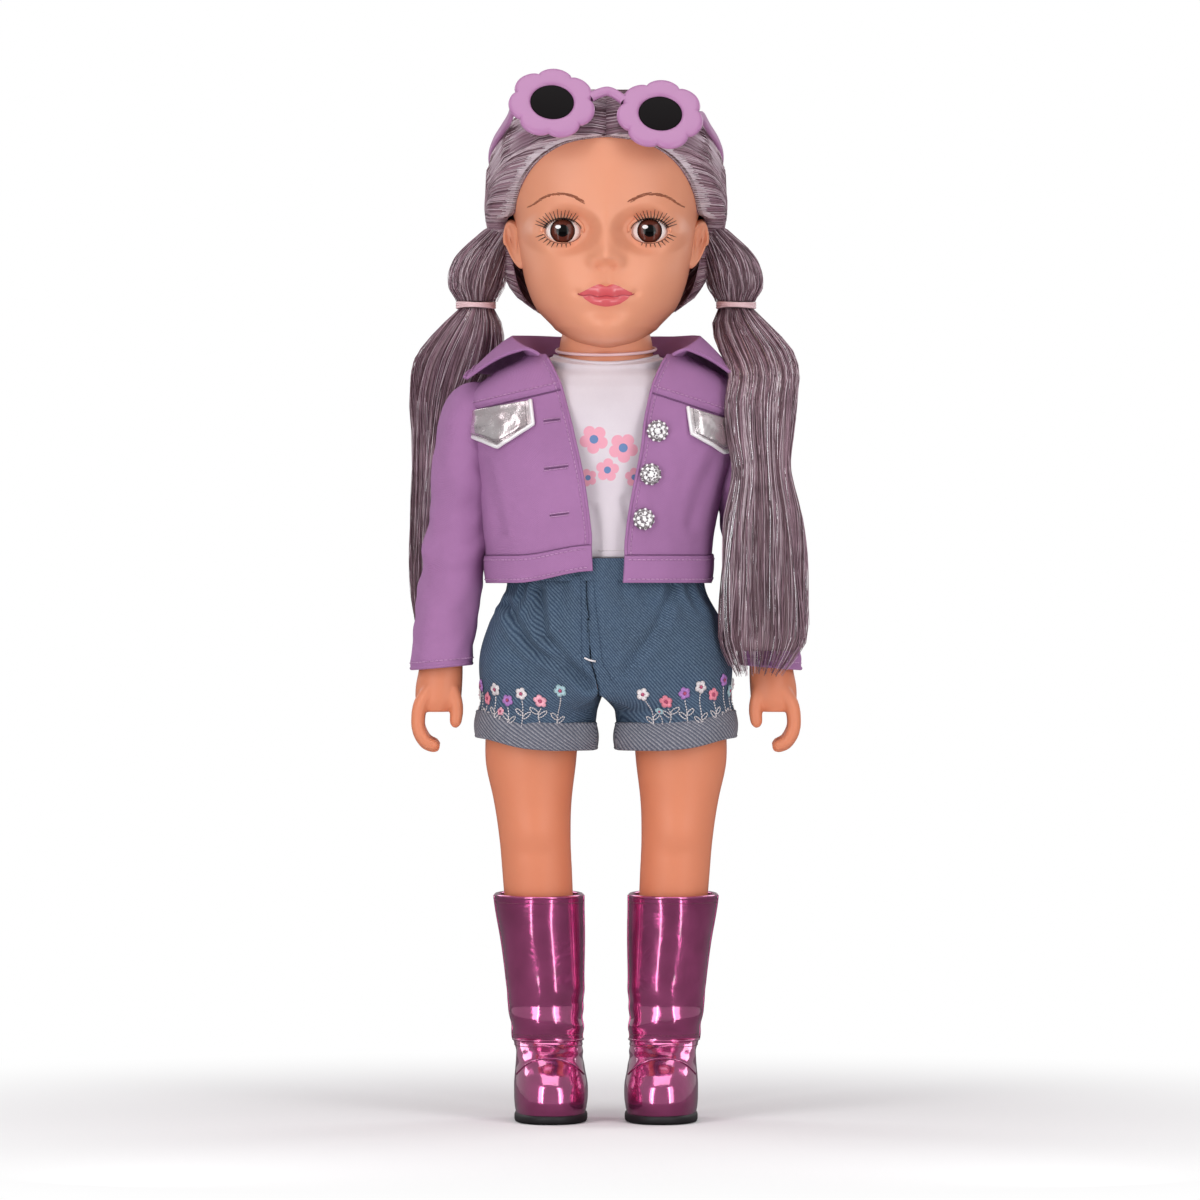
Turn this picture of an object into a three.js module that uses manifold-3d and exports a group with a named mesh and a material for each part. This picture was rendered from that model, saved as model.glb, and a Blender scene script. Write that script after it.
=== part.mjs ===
// Vinyl play doll, dressed, standing on its boot soles.
// Millimetres, +Z up. The doll looks along -Y, and its own left side is at +X.

import * as THREE from 'three';
import { mergeVertices } from 'three/addons/utils/BufferGeometryUtils.js';
import Module from 'manifold-3d';

const wasm = await Module();
wasm.setup();

// Clearance between touching pieces
const GAP = 0.3;

// Heights above the ground
const HIP_Z = 206;
const CROTCH_Z = 192;
const SHOULDER_Z = 312;
const TORSO_TOP_Z = 335;
const CHIN_Z = 346.4;
const KNEE_Z = 126;
const BOOT_TOP_Z = 100;
const BOOT_SEAM_Z = 35.6;
const ANKLE_Z = 40;

// Head
const HEAD_HEIGHT = 109;
const EYE_Z = CHIN_Z + 0.4477 * HEAD_HEIGHT;
const HEAD_HALF_WIDTH = 44.5;
const FACE_DEPTH = 48.5;
const SKULL_DEPTH = 52;
const VINYL_WALL = 3;
const NOSE_LENGTH = 7;
const LIP_FULLNESS = 2.4;
const MOUTH_Z = CHIN_Z + 0.176 * HEAD_HEIGHT;
const NOSE_Z = CHIN_Z + 0.327 * HEAD_HEIGHT;
const EAR_Z = CHIN_Z + 0.409 * HEAD_HEIGHT;
const EAR_Y = -4;
const EAR_HEIGHT = 22;
const EAR_DEPTH = 12;
const EAR_THICKNESS = 9;
const NECK_RADIUS = 21.2;
const NECK_STUB_RADIUS = 18.6;
const NECK_FLANGE_RADIUS = 20;
const NECK_FLANGE_THICKNESS = 3;

// Sleeping eyes
const EYE_X = 19.25;
const EYE_RADIUS = 10.5;
const EYE_SET_BACK = 0.7;
const EYE_OPENING_WIDTH = 16.2;
const EYE_OPENING_HEIGHT = 10.6;
const EYE_CUP_WALL = 1.3;
const LASH_LENGTH = 6;
const LASH_COUNT = 7;
const LASH_RAISE = 14;
const LASH_SPREAD = 22;

// Hair
const HAIR_SIDE = 9.5;
const HAIR_FRONT = 4.5;
const HAIR_BACK = 6.5;
const HAIR_TOP = 6;
const HAIRLINE_Z = CHIN_Z + 0.822 * HEAD_HEIGHT;
const HAIRLINE_SIDE_Z = CHIN_Z + 0.538 * HEAD_HEIGHT;
const NAPE_Z = CHIN_Z + 0.097 * HEAD_HEIGHT;
const BUNCH_X = 58.5;
const BUNCH_Y = 15;
const ELASTIC_Z = CHIN_Z + 0.166 * HEAD_HEIGHT;
const ELASTIC_RADIUS = 8.2;
const ELASTIC_THICKNESS = 2.6;
const LOCKS = 5;
const LOCK_DEPTH = 0.07;
const NECK_ELASTIC_Z = 341.2;
const NECK_ELASTIC_THICKNESS = 1.6;

// Sunglasses
const LENS_SPACING = 48;
const LENS_DIAMETER = 20.6;
const FLOWER_RADIUS = 19.6;
const PETALS = 7;
const PETAL_ROUND = 0.13;
const FRAME_THICKNESS = 3;
const LENS_THICKNESS = 1.4;
const GLASSES_Y = -46;
const GLASSES_Z = CHIN_Z + 0.937 * HEAD_HEIGHT;
const GLASSES_TILT = 35;
const GLASSES_ROLL = 6;
const TEMPLE_RADIUS = 1.5;

// Torso and tee
const TORSO_HALF_WIDTH = 45.5;
const TORSO_HALF_DEPTH = 30;
const TORSO_WALL = 3;
const CROTCH_WEB = 10;
const TEE_THICKNESS = 1.5;
const TEE_HEM_Z = 250.8;
const TEE_NECK_Z = 338.5;

// Jacket
const JACKET_HALF_WIDTH = 59.6;
const ARMHOLE_CLEARANCE = 0.4;
const ARMHOLE_X = JACKET_HALF_WIDTH + ARMHOLE_CLEARANCE;
const JACKET_HALF_DEPTH = 38.5;
const CLOTH = 2.2;
const JACKET_NECK_CUT = 9;
const JACKET_SEAM_Z = 251.5;
const JACKET_HEM_Z = 240.5;
const COLLAR_TOP_Z = 345;
const COLLAR_BOTTOM_Z = 331;
const COLLAR_HALF_WIDTH = 52.5;
const FLAP_THICKNESS = 1.6;
const FLAP_TOP_Z = 322;
const FLAP_HEIGHT = 19;
const FLAP_INNER_X = 34;
const FLAP_OUTER_X = JACKET_HALF_WIDTH - 2.6;
const BUTTON_RADIUS = 5;
const BUTTON_HEIGHT = 3;
const BUTTON_PLACES = [[22.5, 308], [19.3, 288], [16.2, 268.5]];

// Shorts
const SHORTS_HALF_WIDTH = 56;
const SHORTS_HALF_DEPTH = 36;
const WAIST_TOP_Z = 250.4;
const WAIST_BOTTOM_Z = 242;
const SHORTS_END_Z = 177;
const CUFF_HEIGHT = 11.5;
const CUFF_BOTTOM_Z = SHORTS_END_Z - CUFF_HEIGHT;
const CUFF_HALF_WIDTH = 27;
const GATHERS = 15;
const GATHER_DEPTH = 0.7;

// Arms
const ARM_HALF_WIDTH = 12.4;
const SHOULDER_RADIUS = 12;
const ARM_STUB_RADIUS = 9;
const ARM_FLANGE_RADIUS = 11;
const WRIST_X = 74;
const WRIST_Z = 200;
const SLEEVE_END_Z = 203;
const SLEEVE_HALF_WIDTH = 15.5;
const SLEEVE_WALL = 1.8;
const FINGER_RADIUS = 3.1;
const FINGER_PITCH = 5.4;
const FINGERS = 4;

// Legs and boots
const LEG_X = 33.6;
const LEG_HALF_WIDTH = 22;
const HIP_RADIUS = 25;
const HIP_ROD_RADIUS = 4;
const HIP_ROD_LENGTH = 50;
const FOOT_X = 24.6;
const FOOT_Y = -8;
const BOOT_HALF_LENGTH = 32.5;
const BOOT_HALF_WIDTH = 16.6;
const BOOT_SHAFT_HALF_WIDTH = 19.5;
const BOOT_WALL = 1.6;
const SOLE_THICKNESS = 4;

// Points round each form
const FACE_POINTS = 30;
const HAIR_POINTS = 24;
const TAIL_POINTS = 14;
const TORSO_POINTS = 16;
const JACKET_POINTS = 24;
const SHORTS_POINTS = 20;
const LIMB_POINTS = 12;
const SLEEVE_POINTS = 14;
const BAR_POINTS = 12;
const HIP_POINTS = 20;
const NECK_POINTS = 18;
const EYE_AROUND = 16;
const BALL_AROUND = 8;

const SIDES = { left: 1, right: -1 };
const rad = THREE.MathUtils.degToRad;

// Solids

function bareCopy(geometry) {
  const bare = geometry.clone();
  for (const name of Object.keys(bare.attributes)) {
    if (name !== 'position') bare.deleteAttribute(name);
  }
  return bare;
}

function toSolid(geometry) {
  const merged = mergeVertices(bareCopy(geometry), 1e-4);
  return new wasm.Manifold(new wasm.Mesh({
    numProp: 3,
    vertProperties: new Float32Array(merged.attributes.position.array),
    triVerts: new Uint32Array(merged.index.array),
  }));
}

function toGeometry(solid) {
  const { vertProperties, triVerts, numProp } = solid.getMesh();
  const count = vertProperties.length / numProp;
  const positions = new Float32Array(count * 3);
  for (let i = 0; i < count; i += 1) {
    for (let k = 0; k < 3; k += 1) positions[i * 3 + k] = vertProperties[i * numProp + k];
  }
  const geometry = new THREE.BufferGeometry();
  geometry.setAttribute('position', new THREE.BufferAttribute(positions, 3));
  geometry.setIndex([...triVerts]);
  geometry.computeVertexNormals();
  return geometry;
}

function join(...solids) {
  return solids.reduce((whole, solid) => whole.add(solid));
}

function cut(solid, ...tools) {
  return tools.reduce((rest, tool) => rest.subtract(tool), solid);
}

function largest(solid) {
  return solid.decompose().sort((p, q) => q.volume() - p.volume())[0];
}

// Radius of a faceted hole in which a round piece can turn
function boreFor(radius, count) {
  return (radius + GAP) / Math.cos(Math.PI / count);
}

function centreOf(points) {
  const sum = new THREE.Vector3();
  for (const point of points) sum.add(point);
  return sum.divideScalar(points.length);
}

// A closed skin over rings of equal point counts, with a fan on each end
function skin(rings) {
  const count = rings[0].length;
  const points = [...rings.flat(), centreOf(rings[0]), centreOf(rings.at(-1))];
  const start = points.length - 2;
  const end = points.length - 1;
  const top = (rings.length - 1) * count;
  const index = [];
  for (let j = 0; j < count; j += 1) {
    const next = (j + 1) % count;
    for (let i = 0; i < rings.length - 1; i += 1) {
      const row = i * count;
      index.push(row + j, row + next, row + count + next);
      index.push(row + j, row + count + next, row + count + j);
    }
    index.push(start, next, j);
    index.push(end, top + j, top + next);
  }
  const geometry = new THREE.BufferGeometry().setFromPoints(points);
  geometry.setIndex(index);
  const solid = toSolid(geometry);
  if (solid.volume() > 0) return solid;
  index.reverse();
  geometry.setIndex(index);
  return toSolid(geometry);
}

// Sections: { z, x, y, a, front, back, power } are ovals across the height

function oval(section, count, shape = null) {
  const { z, x = 0, y = 0, a, front, back = front, power = 2 } = section;
  const points = [];
  for (let i = 0; i < count; i += 1) {
    const angle = (i / count) * Math.PI * 2;
    const cos = Math.cos(angle);
    const sin = Math.sin(angle);
    const swell = shape ? shape(angle, section) : 1;
    const across = Math.sign(cos) * Math.abs(cos) ** (2 / power) * a * swell;
    const depth = Math.sign(sin) * Math.abs(sin) ** (2 / power) * (sin < 0 ? front : back) * swell;
    points.push(new THREE.Vector3(x + across, y + depth, z));
  }
  return points;
}

function spline(a, b, c, d, t) {
  const square = t * t;
  const cube = square * t;
  return 0.5 * (2 * b + (c - a) * t + (2 * a - 5 * b + 4 * c - d) * square + (3 * b - a - 3 * c + d) * cube);
}

// Smooth sections between the given ones, steps for each stretch
function smooth(sections, steps) {
  const keys = ['z', 'x', 'y', 'a', 'front', 'back', 'power'];
  const filled = sections.map((s) => ({ x: 0, y: 0, power: 2, back: s.front, ...s }));
  const last = filled.length - 1;
  const result = [];
  for (let i = 0; i < last; i += 1) {
    const around = [filled[Math.max(i - 1, 0)], filled[i], filled[i + 1], filled[Math.min(i + 2, last)]];
    for (let step = 0; step < steps; step += 1) {
      const entry = {};
      for (const key of keys) entry[key] = spline(...around.map((s) => s[key]), step / steps);
      result.push(entry);
    }
  }
  result.push(filled[last]);
  return result;
}

function grow(sections, by, ends = by) {
  const last = sections.length - 1;
  return sections.map((s, i) => ({
    ...s,
    a: s.a + by,
    front: s.front + by,
    back: (s.back ?? s.front) + by,
    z: s.z + (i === last ? ends : 0) - (i === 0 ? ends : 0),
  }));
}

function loft(sections, count, shape = null) {
  return skin(sections.map((section) => oval(section, count, shape)));
}

function sectionAt(sections, z) {
  for (let i = 1; i < sections.length; i += 1) {
    const low = sections[i - 1];
    const high = sections[i];
    if (z <= high.z || i === sections.length - 1) {
      const t = THREE.MathUtils.clamp((z - low.z) / (high.z - low.z), 0, 1);
      const entry = {};
      for (const key of Object.keys(high)) entry[key] = THREE.MathUtils.lerp(low[key], high[key], t);
      return entry;
    }
  }
  return sections[0];
}

// Front surface of lofted sections at a place across and up
function frontY(sections, x, z) {
  const { x: middle = 0, y = 0, a, front, power = 2 } = sectionAt(sections, z);
  const share = Math.min(Math.abs(x - middle) / a, 1);
  return y - front * (1 - share ** power) ** (1 / power);
}

function box(low, high) {
  const size = high.map((value, i) => value - low[i]);
  const geometry = new THREE.BoxGeometry(...size);
  geometry.translate(...high.map((value, i) => (value + low[i]) / 2));
  return toSolid(geometry);
}

function turned(profile, count) {
  const geometry = new THREE.LatheGeometry(profile.map(([r, h]) => new THREE.Vector2(r, h)), count);
  geometry.rotateX(Math.PI / 2);
  return geometry;
}

// A turned solid along X, its profile given as radius and place along X
function turnedAlongX(profile, count, y, z) {
  const geometry = turned(profile, count);
  geometry.rotateY(Math.PI / 2);
  geometry.translate(0, y, z);
  return orient(geometry);
}

function orient(geometry) {
  const solid = toSolid(geometry);
  if (solid.volume() > 0) return solid;
  const flipped = mergeVertices(bareCopy(geometry), 1e-4);
  flipped.setIndex([...flipped.index.array].reverse());
  return toSolid(flipped);
}

// A prism through the front of the doll: outline points are [x, z]
function prismY(outline, low, high) {
  const shape = new THREE.Shape(outline.map(([x, z]) => new THREE.Vector2(x, z)));
  const geometry = new THREE.ExtrudeGeometry(shape, { depth: high - low, bevelEnabled: false });
  geometry.rotateX(Math.PI / 2);
  geometry.translate(0, high, 0);
  return orient(geometry);
}

// An upright prism: outline points are [x, y]
function prismZ(outline, low, high) {
  const shape = new THREE.Shape(outline.map(([x, y]) => new THREE.Vector2(x, y)));
  const geometry = new THREE.ExtrudeGeometry(shape, { depth: high - low, bevelEnabled: false });
  geometry.translate(0, 0, low);
  return orient(geometry);
}

// A round-sectioned tube through points, with its radius at each, swept in the plane across `flat`
function tube(points, radii, flat, count, steps = 2) {
  const curve = new THREE.CatmullRomCurve3(points.map((p) => new THREE.Vector3(...p)));
  const total = (points.length - 1) * steps;
  const side = new THREE.Vector3(...flat);
  const rings = [];
  for (let i = 0; i <= total; i += 1) {
    const t = i / total;
    const at = curve.getPoint(t);
    const across = new THREE.Vector3().crossVectors(curve.getTangent(t), side).normalize();
    const place = t * (radii.length - 1);
    const low = Math.min(Math.floor(place), radii.length - 2);
    const radius = THREE.MathUtils.lerp(radii[low], radii[low + 1], place - low);
    const ring = [];
    for (let j = 0; j < count; j += 1) {
      const angle = (j / count) * Math.PI * 2;
      const point = at.clone().addScaledVector(side, Math.cos(angle) * radius);
      ring.push(point.addScaledVector(across, Math.sin(angle) * radius));
    }
    rings.push(ring);
  }
  return skin(rings);
}

function ball(radius, place, across, around, stretch = [1, 1, 1]) {
  const geometry = new THREE.SphereGeometry(radius, across, around);
  geometry.rotateX(Math.PI / 2);
  geometry.scale(...stretch);
  geometry.translate(...place);
  return orient(geometry);
}

// A ball with its poles along X, so that it can turn about X in a like socket
function eyeRound(radius, place) {
  const geometry = new THREE.SphereGeometry(radius, EYE_AROUND, BALL_AROUND);
  geometry.rotateZ(Math.PI / 2);
  geometry.translate(...place);
  return orient(geometry);
}

function mirrored(solid, side) {
  return side > 0 ? solid : solid.mirror([1, 0, 0]);
}

// The model

const doll = new THREE.Group();
doll.name = 'vinyl_play_doll';

const finishes = {
  skin: { color: 0xe99e7c, roughness: 0.5 },
  eye: { color: 0x4c1f1b, roughness: 0.1 },
  inner: { color: 0xd9d4cc, roughness: 0.6 },
  lash: { color: 0x1a1210, roughness: 0.6 },
  hair: { color: 0xa68f9c, roughness: 0.4 },
  elastic: { color: 0xe6c9cc, roughness: 0.7 },
  frame: { color: 0xd29bc4, roughness: 0.25 },
  lens: { color: 0x120912, roughness: 0.08 },
  tee: { color: 0xd9cacf, roughness: 0.9 },
  jacket: { color: 0xa676a5, roughness: 0.95 },
  foil: { color: 0xc8c3bd, roughness: 0.35, metalness: 0.6 },
  gem: { color: 0xd8cbe0, roughness: 0.1 },
  denim: { color: 0x3f5974, roughness: 0.95 },
  cuff: { color: 0x8d97a8, roughness: 0.95 },
  boot: { color: 0x8e5a85, roughness: 0.35, metalness: 0.6 },
  sole: { color: 0x17141a, roughness: 0.8 },
};

function add(name, solid, finish) {
  const mesh = new THREE.Mesh(toGeometry(solid), new THREE.MeshStandardMaterial(finishes[finish]));
  mesh.name = name;
  doll.add(mesh);
}

// Head: heights as shares of the head, widths and depths as shares of its own

const HEAD_SHAPE = [
  [-0.01, 0.2, 0.78, 0.25],
  [0.02, 0.36, 0.92, 0.34],
  [0.06, 0.51, 0.98, 0.5],
  [0.145, 0.7, 1, 0.72],
  [0.24, 0.8, 1, 0.87],
  [0.35, 0.86, 0.99, 0.95],
  [0.48, 0.905, 0.98, 1],
  [0.6, 0.97, 0.98, 1],
  [0.73, 1, 0.95, 0.96],
  [0.84, 0.92, 0.85, 0.85],
  [0.92, 0.76, 0.68, 0.69],
  [0.975, 0.52, 0.44, 0.45],
  [1, 0.2, 0.17, 0.17],
];

function headSections(steps, trim = 0) {
  return smooth(HEAD_SHAPE.map(([up, side, front, back]) => ({
    z: CHIN_Z + up * (HEAD_HEIGHT - trim),
    a: side * HEAD_HALF_WIDTH - trim,
    front: front * FACE_DEPTH - trim,
    back: back * SKULL_DEPTH - trim,
    power: 2.2,
  })), steps);
}

function hill(dx, width, dz, height) {
  return Math.exp(-((dx / width) ** 2) - (dz / height) ** 2);
}

// How far the features stand out of the plain face
function feature(x, z) {
  const side = Math.abs(x);
  return NOSE_LENGTH * hill(x, 5.2, z - NOSE_Z, 5)
    + 0.3 * NOSE_LENGTH * hill(x, 4.5, z - NOSE_Z - 10, 8)
    + LIP_FULLNESS * hill(x, 11, z - MOUTH_Z, 4.4)
    + 1.8 * hill(x, 10, z - CHIN_Z - 6, 5)
    + 1.6 * hill(side - EYE_X, 11, z - CHIN_Z - 28, 10)
    - 2 * hill(side - EYE_X, 11, z - EYE_Z, 7);
}

// Points gather on the face, where the features are
function faceRing(section, count, by = 0) {
  const points = [];
  for (let i = 0; i < count; i += 1) {
    const even = (i / count) * Math.PI * 2;
    const angle = even + 0.5 * Math.sin(even) + Math.PI / 2;
    const side = Math.cos(angle);
    const depth = Math.sin(angle);
    const reach = depth < 0 ? section.front : section.back;
    const x = Math.sign(side) * Math.abs(side) ** (2 / section.power) * (section.a + by);
    let y = Math.sign(depth) * Math.abs(depth) ** (2 / section.power) * (reach + by);
    if (depth < 0) y -= feature(x, section.z) * Math.min(1, -2 * depth);
    points.push(new THREE.Vector3(x, y, section.z));
  }
  return points;
}

// Finer rings over the face than over the crown
const headOuter = headSections(2).filter((s, i) => s.z < EYE_Z + 12 || i % 2 === 0);

function headSolid(by = 0) {
  return skin(headOuter.map((section) => faceRing(section, FACE_POINTS, by)));
}

function earSolid(side, by = 0) {
  const stretch = [EAR_THICKNESS / 2 + by, EAR_DEPTH / 2 + by, EAR_HEIGHT / 2 + by];
  const place = [side * (0.97 * HEAD_HALF_WIDTH), EAR_Y, EAR_Z];
  return ball(1, place, 10, 6, stretch);
}

const eyeFaceY = frontY(headOuter, EYE_X, EYE_Z) - feature(EYE_X, EYE_Z);
const eyeY = eyeFaceY + EYE_RADIUS + EYE_SET_BACK;
const eyeRoom = boreFor(EYE_RADIUS, EYE_AROUND);

function eyeOpening(side) {
  const outline = [];
  const points = 14;
  for (let i = 0; i < points; i += 1) {
    const angle = (i / points) * Math.PI * 2;
    const x = Math.cos(angle) * (EYE_OPENING_WIDTH / 2);
    const height = Math.sin(angle) * (EYE_OPENING_HEIGHT / 2);
    outline.push([side * EYE_X + x, EYE_Z + height]);
  }
  return prismY(outline, eyeY - EYE_RADIUS - 12, eyeY);
}

function buildHead() {
  const neckTop = CHIN_Z + 6;
  const neckBase = TORSO_TOP_Z + GAP;
  const flangeTop = TORSO_TOP_Z - TORSO_WALL - 2 * GAP;
  const flangeBottom = flangeTop - NECK_FLANGE_THICKNESS;
  const boreRadius = NECK_STUB_RADIUS - VINYL_WALL;
  const neck = orient(turned([
    [0, neckTop], [NECK_RADIUS, neckTop], [NECK_RADIUS, neckBase], [NECK_STUB_RADIUS, neckBase],
    [NECK_STUB_RADIUS, flangeTop], [NECK_FLANGE_RADIUS, flangeTop],
    [NECK_FLANGE_RADIUS, flangeBottom], [0, flangeBottom],
  ], NECK_POINTS));
  const bore = orient(turned([
    [0, flangeBottom - 1], [boreRadius, flangeBottom - 1], [boreRadius, neckTop + 12], [0, neckTop + 12],
  ], 16));
  const hollow = loft(headSections(1, VINYL_WALL).slice(2), 14);
  let head = join(headSolid(), earSolid(1), earSolid(-1), neck);
  head = cut(head, hollow, bore);
  for (const side of [1, -1]) {
    const socket = eyeRound(eyeRoom, [side * EYE_X, eyeY, EYE_Z]);
    const reach = eyeRoom + EYE_CUP_WALL + GAP;
    const room = box(
      [side * EYE_X - reach, eyeY - 1, EYE_Z - reach],
      [side * EYE_X + reach, eyeY + reach, EYE_Z + reach],
    );
    head = cut(head, socket, eyeOpening(side), room);
  }
  add('head_shell', head, 'skin');
}

function buildEyes() {
  for (const [name, side] of Object.entries(SIDES)) {
    const place = [side * EYE_X, eyeY, EYE_Z];
    add(`eyeball_${name}`, eyeRound(EYE_RADIUS, place), 'eye');
    const reach = 2 * EYE_RADIUS;
    const front = box(
      [place[0] - reach, eyeY - reach, EYE_Z - reach],
      [place[0] + reach, eyeY - 1 + GAP, EYE_Z + reach],
    );
    const cup = cut(eyeRound(eyeRoom + EYE_CUP_WALL, place), eyeRound(eyeRoom, place), front);
    add(`eye_cup_${name}`, cup, 'inner');
    add(`eyelashes_${name}`, lashes(side), 'lash');
  }
}

// Bristle lashes on a thin strip that lies along the lid, all fused
function lashes(side) {
  const reach = EYE_RADIUS + GAP;
  const raise = rad(LASH_RAISE);
  const spread = rad(LASH_SPREAD);
  const strip = [];
  const hairs = [];
  for (let i = 0; i < LASH_COUNT; i += 1) {
    const turn = spread * ((2 * i) / (LASH_COUNT - 1) - 1);
    const outward = new THREE.Vector3(
      Math.sin(turn) * Math.cos(raise),
      -Math.cos(turn) * Math.cos(raise),
      Math.sin(raise),
    );
    const root = outward.clone().multiplyScalar(reach + 0.7);
    strip.push(root.toArray());
    const tip = outward.clone().multiplyScalar(reach + LASH_LENGTH);
    tip.x += side * LASH_LENGTH * 0.2;
    hairs.push(tube([root.toArray(), tip.toArray()], [0.45, 0.16], [0, 0, 1], 3, 1));
  }
  const band = tube(strip, strip.map(() => 0.6), [0, 0, 1], 4, 1);
  return join(band, ...hairs).translate([side * EYE_X, eyeY, EYE_Z]);
}

// Hair: rooted hair pulled back into two low bunches, each with a tail

const HAIR_SHAPE = [
  [0, 0.6, 0.3, 0.66],
  [0.1, 0.78, 0.7, 0.86],
  [0.25, 0.9, 0.85, 0.94],
  [0.4, 0.96, 0.93, 0.985],
  [0.55, 1, 0.98, 1],
  [0.7, 0.98, 0.98, 0.97],
  [0.82, 0.9, 0.9, 0.87],
  [0.92, 0.73, 0.71, 0.69],
  [0.98, 0.46, 0.43, 0.43],
  [1, 0.18, 0.16, 0.16],
];

const hairTopZ = CHIN_Z + HEAD_HEIGHT + HAIR_TOP;
const hairOuter = smooth(HAIR_SHAPE.map(([up, side, front, back]) => ({
  z: NAPE_Z + up * (hairTopZ - NAPE_Z),
  a: side * (HEAD_HALF_WIDTH + HAIR_SIDE),
  front: front * (FACE_DEPTH + HAIR_FRONT),
  back: back * (SKULL_DEPTH + HAIR_BACK),
  power: 2.2,
})), 1);
const headPlain = loft(grow(headSections(1), 1.4), HAIR_POINTS);

// The hairline seen from the side, as [y, z] from the forehead to the nape
function faceWindow() {
  const front = -frontY(headOuter, 0, HAIRLINE_Z);
  const outline = [
    [-120, HAIRLINE_Z], [-front, HAIRLINE_Z], [-0.9 * front, HAIRLINE_Z - 4],
    [-0.55 * front, HAIRLINE_SIDE_Z], [EAR_Y - EAR_DEPTH / 2, EAR_Z + EAR_HEIGHT / 2 + 2],
    [EAR_Y + EAR_DEPTH / 2 + 2, EAR_Z + EAR_HEIGHT / 2 - 2],
    [EAR_Y + EAR_DEPTH / 2 + 3, EAR_Z - EAR_HEIGHT / 2],
    [EAR_Y + 20, NAPE_Z + 4], [EAR_Y + 20, NAPE_Z - 20], [-120, NAPE_Z - 20],
  ];
  return prismZ(outline.map(([y, z]) => [z, y]), -90, 90).rotate([0, -90, 0]);
}

function buildHair() {
  const shell = loft(hairOuter, HAIR_POINTS);
  const cap = cut(shell, headPlain, faceWindow(), earSolid(1, GAP), earSolid(-1, GAP));
  add('hair_cap', largest(cap), 'hair');
  for (const [name, side] of Object.entries(SIDES)) {
    add(`hair_bunch_${name}`, bunch(side), 'hair');
    const ring = new THREE.TorusGeometry(ELASTIC_RADIUS, ELASTIC_THICKNESS / 2, 5, 12);
    ring.translate(side * BUNCH_X, BUNCH_Y, ELASTIC_Z);
    add(`hair_elastic_${name}`, orient(ring), 'elastic');
  }
  add('pigtail_left', tail(LEFT_TAIL, 1), 'hair');
  add('pigtail_right', tail(RIGHT_TAIL, -1), 'hair');
  const neckRing = NECK_RADIUS + GAP + NECK_ELASTIC_THICKNESS / 2;
  const band = new THREE.TorusGeometry(neckRing, NECK_ELASTIC_THICKNESS / 2, 4, NECK_POINTS);
  band.translate(0, 0, NECK_ELASTIC_Z);
  add('neck_elastic', orient(band), 'elastic');
}

function locks(angle, section) {
  return 1 + LOCK_DEPTH * Math.cos(LOCKS * angle + section.z / 14);
}

// A bunch: height above the elastic, shift towards the head, half width, half depth
const BUNCH_SHAPE = [
  [0, 0, 7.4, 7],
  [6.5, 0, 11.2, 9.5],
  [15, 1.5, 12.3, 10.5],
  [23, 5, 11, 10],
  [31, 11, 7, 8],
];

function bunch(side) {
  const base = ELASTIC_Z + ELASTIC_THICKNESS / 2 + GAP;
  const sections = BUNCH_SHAPE.map(([up, inward, a, front]) => ({
    z: base + up, x: BUNCH_X - inward, y: BUNCH_Y, a, front,
  }));
  const solid = mirrored(loft(smooth(sections, 2), 12, locks), side);
  return cut(solid, loft(grow(hairOuter, GAP), HAIR_POINTS), earSolid(side, GAP));
}

// A tail: depth below the elastic, then its centre out from the bunch and forward, and half sizes
const LEFT_TAIL = [
  [0, 0, 0, 7, 7],
  [8, 2.5, -5, 12, 8.5],
  [19, 8, -17, 15, 8.2],
  [30, 11.5, -31, 14.5, 7],
  [42, 10, -40.5, 15, 6.5],
  [58, 10, -42, 13.5, 6.5],
  [73, 11, -41.5, 12, 6.5],
  [95, 11.5, -41, 16, 6.5],
  [123, 11.5, -40, 17.2, 6.5],
  [148, 11.5, -39.5, 17, 6],
  [165, 11.5, -39, 15.5, 4],
];
const RIGHT_TAIL = [
  [0, 0, 0, 7, 7],
  [8, 2.5, 1, 13, 9],
  [22, 7.5, 5, 18, 9.5],
  [38, 12.5, 11.5, 16, 9],
  [55, 15.5, 14.5, 12.5, 8.5],
  [78, 17.5, 14.5, 11, 8.5],
  [103, 19.5, 14, 9.5, 8],
  [128, 21, 13.5, 7.5, 7],
  [149, 22.5, 13, 3.5, 4],
];

function tail(shape, side) {
  const top = ELASTIC_Z - ELASTIC_THICKNESS / 2 - GAP;
  const sections = shape.map(([down, out, forward, a, front]) => ({
    z: top - down, x: BUNCH_X + out, y: BUNCH_Y + forward, a, front,
  }));
  return mirrored(loft(sections, TAIL_POINTS, locks), side);
}

// Sunglasses: one moulded frame of two flowers, a bridge and fixed temples, and two lenses

function flowerOutline() {
  const points = [];
  const steps = PETALS * 4;
  for (let i = 0; i < steps; i += 1) {
    const angle = (i / steps) * Math.PI * 2;
    const wave = Math.abs(Math.cos((PETALS * angle) / 2)) ** 0.8;
    const radius = FLOWER_RADIUS * (1 - PETAL_ROUND + PETAL_ROUND * wave);
    points.push([radius * Math.sin(angle), radius * Math.cos(angle)]);
  }
  return points;
}

// From the flat layout of the frame (x across, z up, y into the hair) to its place on the head
function placeGlasses(solid) {
  return solid.rotate([GLASSES_TILT * -1, 0, 0]).rotate([0, GLASSES_ROLL, 0])
    .translate([0, GLASSES_Y, GLASSES_Z]);
}

function placedPoint(x, y, z) {
  const point = new THREE.Vector3(x, y, z);
  point.applyAxisAngle(new THREE.Vector3(1, 0, 0), rad(-GLASSES_TILT));
  point.applyAxisAngle(new THREE.Vector3(0, 1, 0), rad(GLASSES_ROLL));
  return point.add(new THREE.Vector3(0, GLASSES_Y, GLASSES_Z));
}

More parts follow.
